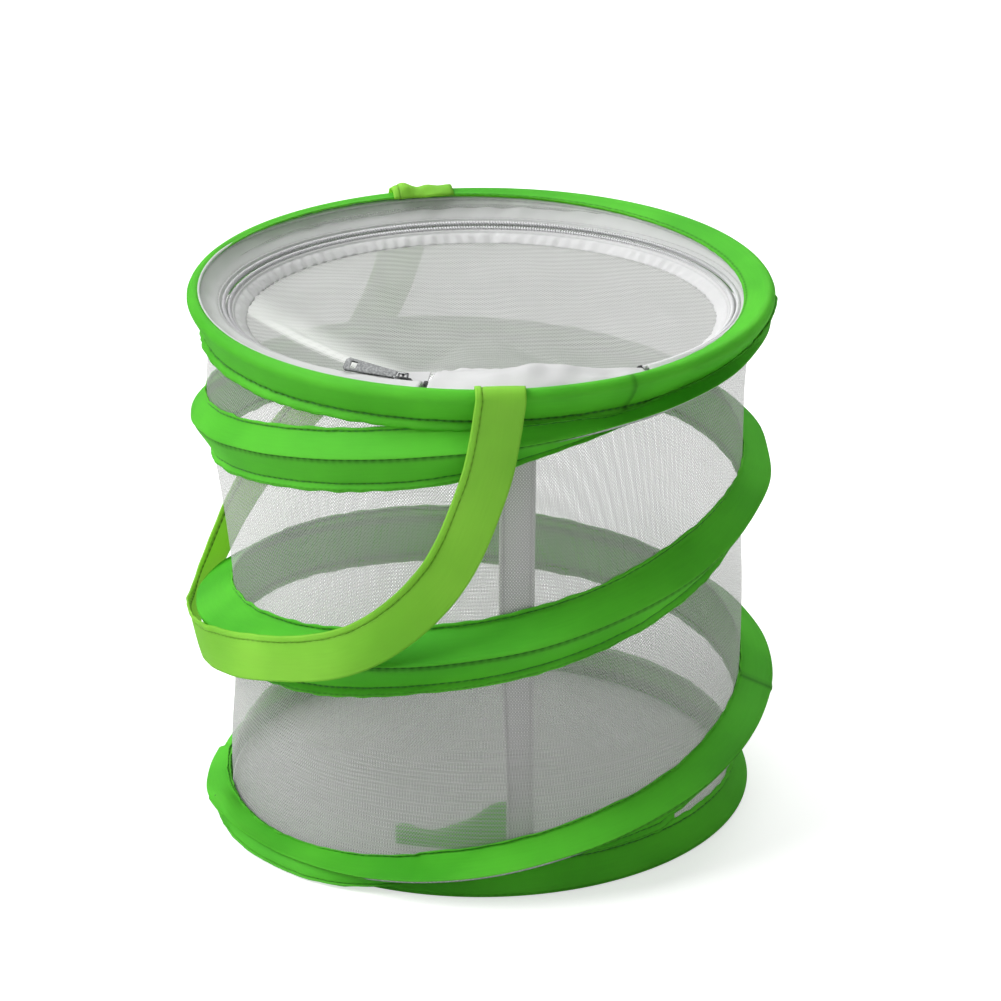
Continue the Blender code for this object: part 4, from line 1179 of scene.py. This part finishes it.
def handle_path():
    """Middle line of the strap and the way its outer face looks, from the front end to the back end."""
    middles, faces = [], []
    for angle, end in ((handle_front, front_end), (handle_back, back_end)):
        rows = np.array(end) * mm
        run = np.gradient(rows, axis=0)
        out = np.stack([-run[:, 1], run[:, 0]], axis=1)
        out = unit_length(out * np.sign(out[:, 1:2] + out[:, :1]))
        middles.append(around(rows[:, 0], angle, top_wire_z + rows[:, 1]))
        faces.append(around(out[:, 0], angle, out[:, 1]))
    place = np.linspace(0.03, 0.97, 60)
    angle, radius, z, tuck = handle_centre(place)
    hang = around(radius, angle, z)
    radial = around(1.0, angle, 0.0)
    lean = np.radians(15) * tuck
    radial = radial * np.cos(lean)[:, None] + np.array([0, 0, -1.0]) * np.sin(lean)[:, None]
    middle = np.concatenate([middles[0], hang, middles[1][::-1]])
    face = np.concatenate([faces[0], radial, faces[1][::-1]])
    return middle, face


handle_middle, handle_face = handle_path()
handle_run = np.concatenate([[0], np.cumsum(np.linalg.norm(np.diff(handle_middle, axis=0), axis=1))])
handle_length = handle_run[-1]


def handle_place(u, v):
    at = u * handle_length
    middle = through(handle_middle, handle_run, at)
    ahead = through(handle_middle, handle_run, np.minimum(at + 0.5 * mm, handle_length))
    behind = through(handle_middle, handle_run, np.maximum(at - 0.5 * mm, 0))
    run = unit_length(ahead - behind)
    across = unit_length(np.cross(through(handle_face, handle_run, at), run))
    out = np.cross(run, across)
    hem = ease((v - 0.87) / 0.03)
    relief = 0.5 * hem - 0.45 * hill(v, 0.855, 0.016) + 0.25 * np.sin(v * math.pi)
    near_end = ease((at - handle_length + 24 * mm) / (10 * mm))
    arch = near_end * hill(v, 0.74, 0.19) * ease((handle_length - at) / (5 * mm))
    crumple = near_end * ripple(middle + across * (v * 40 * mm)[:, None], 9 * mm, 25) * ease((0.55 - v) / 0.2)
    reach = (0.5 - v) * handle_width * (1 + 0.7 * near_end * ease((0.5 - v) / 0.5))
    flat = middle + across * reach[:, None]
    hanging = ease((at - 25 * mm) / (20 * mm)) * ease((handle_length - 25 * mm - at) / (20 * mm))
    wave = ripple(flat, 42 * mm, 23) * 0.6 * hanging + ripple(flat, 15 * mm, 24) * 0.4 * hem * hanging
    wave = wave + 3.0 * arch + 0.6 * crumple
    return flat + out * ((relief + wave) * mm)[:, None]


strap_green = woven_finish(
    "strap_green", (0.33, 0.71, 0.075), (0.21, 0.54, 0.04), (0.62, 0.97, 0.2), casing_thread, 0.35
)
strap_cut = (handle_length, handle_width)
strap = sewn("handle_cloth", handle_place, strap_cut, (460, 34), ((0.857, 0.02, 1.0),), thickness=1.0 * mm)
wear(strap, strap_green)
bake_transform(strap)
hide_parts("handle_strap", "handle_end_front", "handle_end_back")


# Table, lights and camera
# A plain white sweep under three soft lamps and an even sky, seen from the front
# and a little above, as for a catalogue.
sweep_white, sweep_shader, sweep_place = finish("sweep_white", {"Roughness": 0.9, "Emission Color": (1, 1, 1, 1)})
feed(
    sweep_shader, Base_Color=sweep_place.noise(3.0, 2.0).tint((0.56, 0.56, 0.56), (0.58, 0.58, 0.58)),
    Emission_Strength=sweep_place.node("ShaderNodeLightPath") * 0.62,
)
bpy.ops.object.select_all(action="DESELECT")
bpy.ops.mesh.primitive_plane_add(size=30, location=(0, 0, -0.05 * mm))
table = bpy.context.object
table.name = "table"
table.data.materials.append(sweep_white)

world = bpy.data.worlds.new("studio")
bpy.context.scene.world = world
world.use_nodes = True
sky = world.node_tree.nodes["Background"]
sky.inputs["Color"].default_value = (1, 1, 1, 1)
seen = Shade(world.node_tree, None).node("ShaderNodeLightPath")
daylight = 0.3
world.node_tree.links.new((seen * (1 - daylight) + daylight).socket, sky.inputs["Strength"])


def lamp(name, strength, spread, place):
    """A large soft lamp, far off, that shines from a place towards the cage."""
    light = bpy.data.lights.new(name, "SUN")
    light.energy = strength
    light.angle = math.radians(spread)
    obj = put(name, light)
    obj.location = place
    obj.rotation_euler = (-Vector(place)).to_track_quat("-Z", "Y").to_euler()


lamp("key_lamp", 3.6, 40, (-1.5, -0.2, 1.3))
lamp("fill_lamp", 0.25, 60, (1.0, -1.5, 0.7))
lamp("back_lamp", 1.9, 60, (-0.1, 1.3, 1.8))

camera_distance = 2.25
camera_height_angle = math.radians(23.1872)
aim = Vector((0.0098765, 0.0, 0.158845))
picture_width, focal_length = 1001, 4319.22
lens = bpy.data.cameras.new("camera")
lens.sensor_width = 36
lens.lens = focal_length / picture_width * lens.sensor_width
camera = put("camera", lens)
camera.location = aim + Vector(
    (0, -camera_distance * math.cos(camera_height_angle), camera_distance * math.sin(camera_height_angle))
)
camera.rotation_euler = (math.radians(90) - camera_height_angle, 0, 0)
bpy.context.scene.camera = camera
bpy.context.scene.view_settings.view_transform = "Standard"
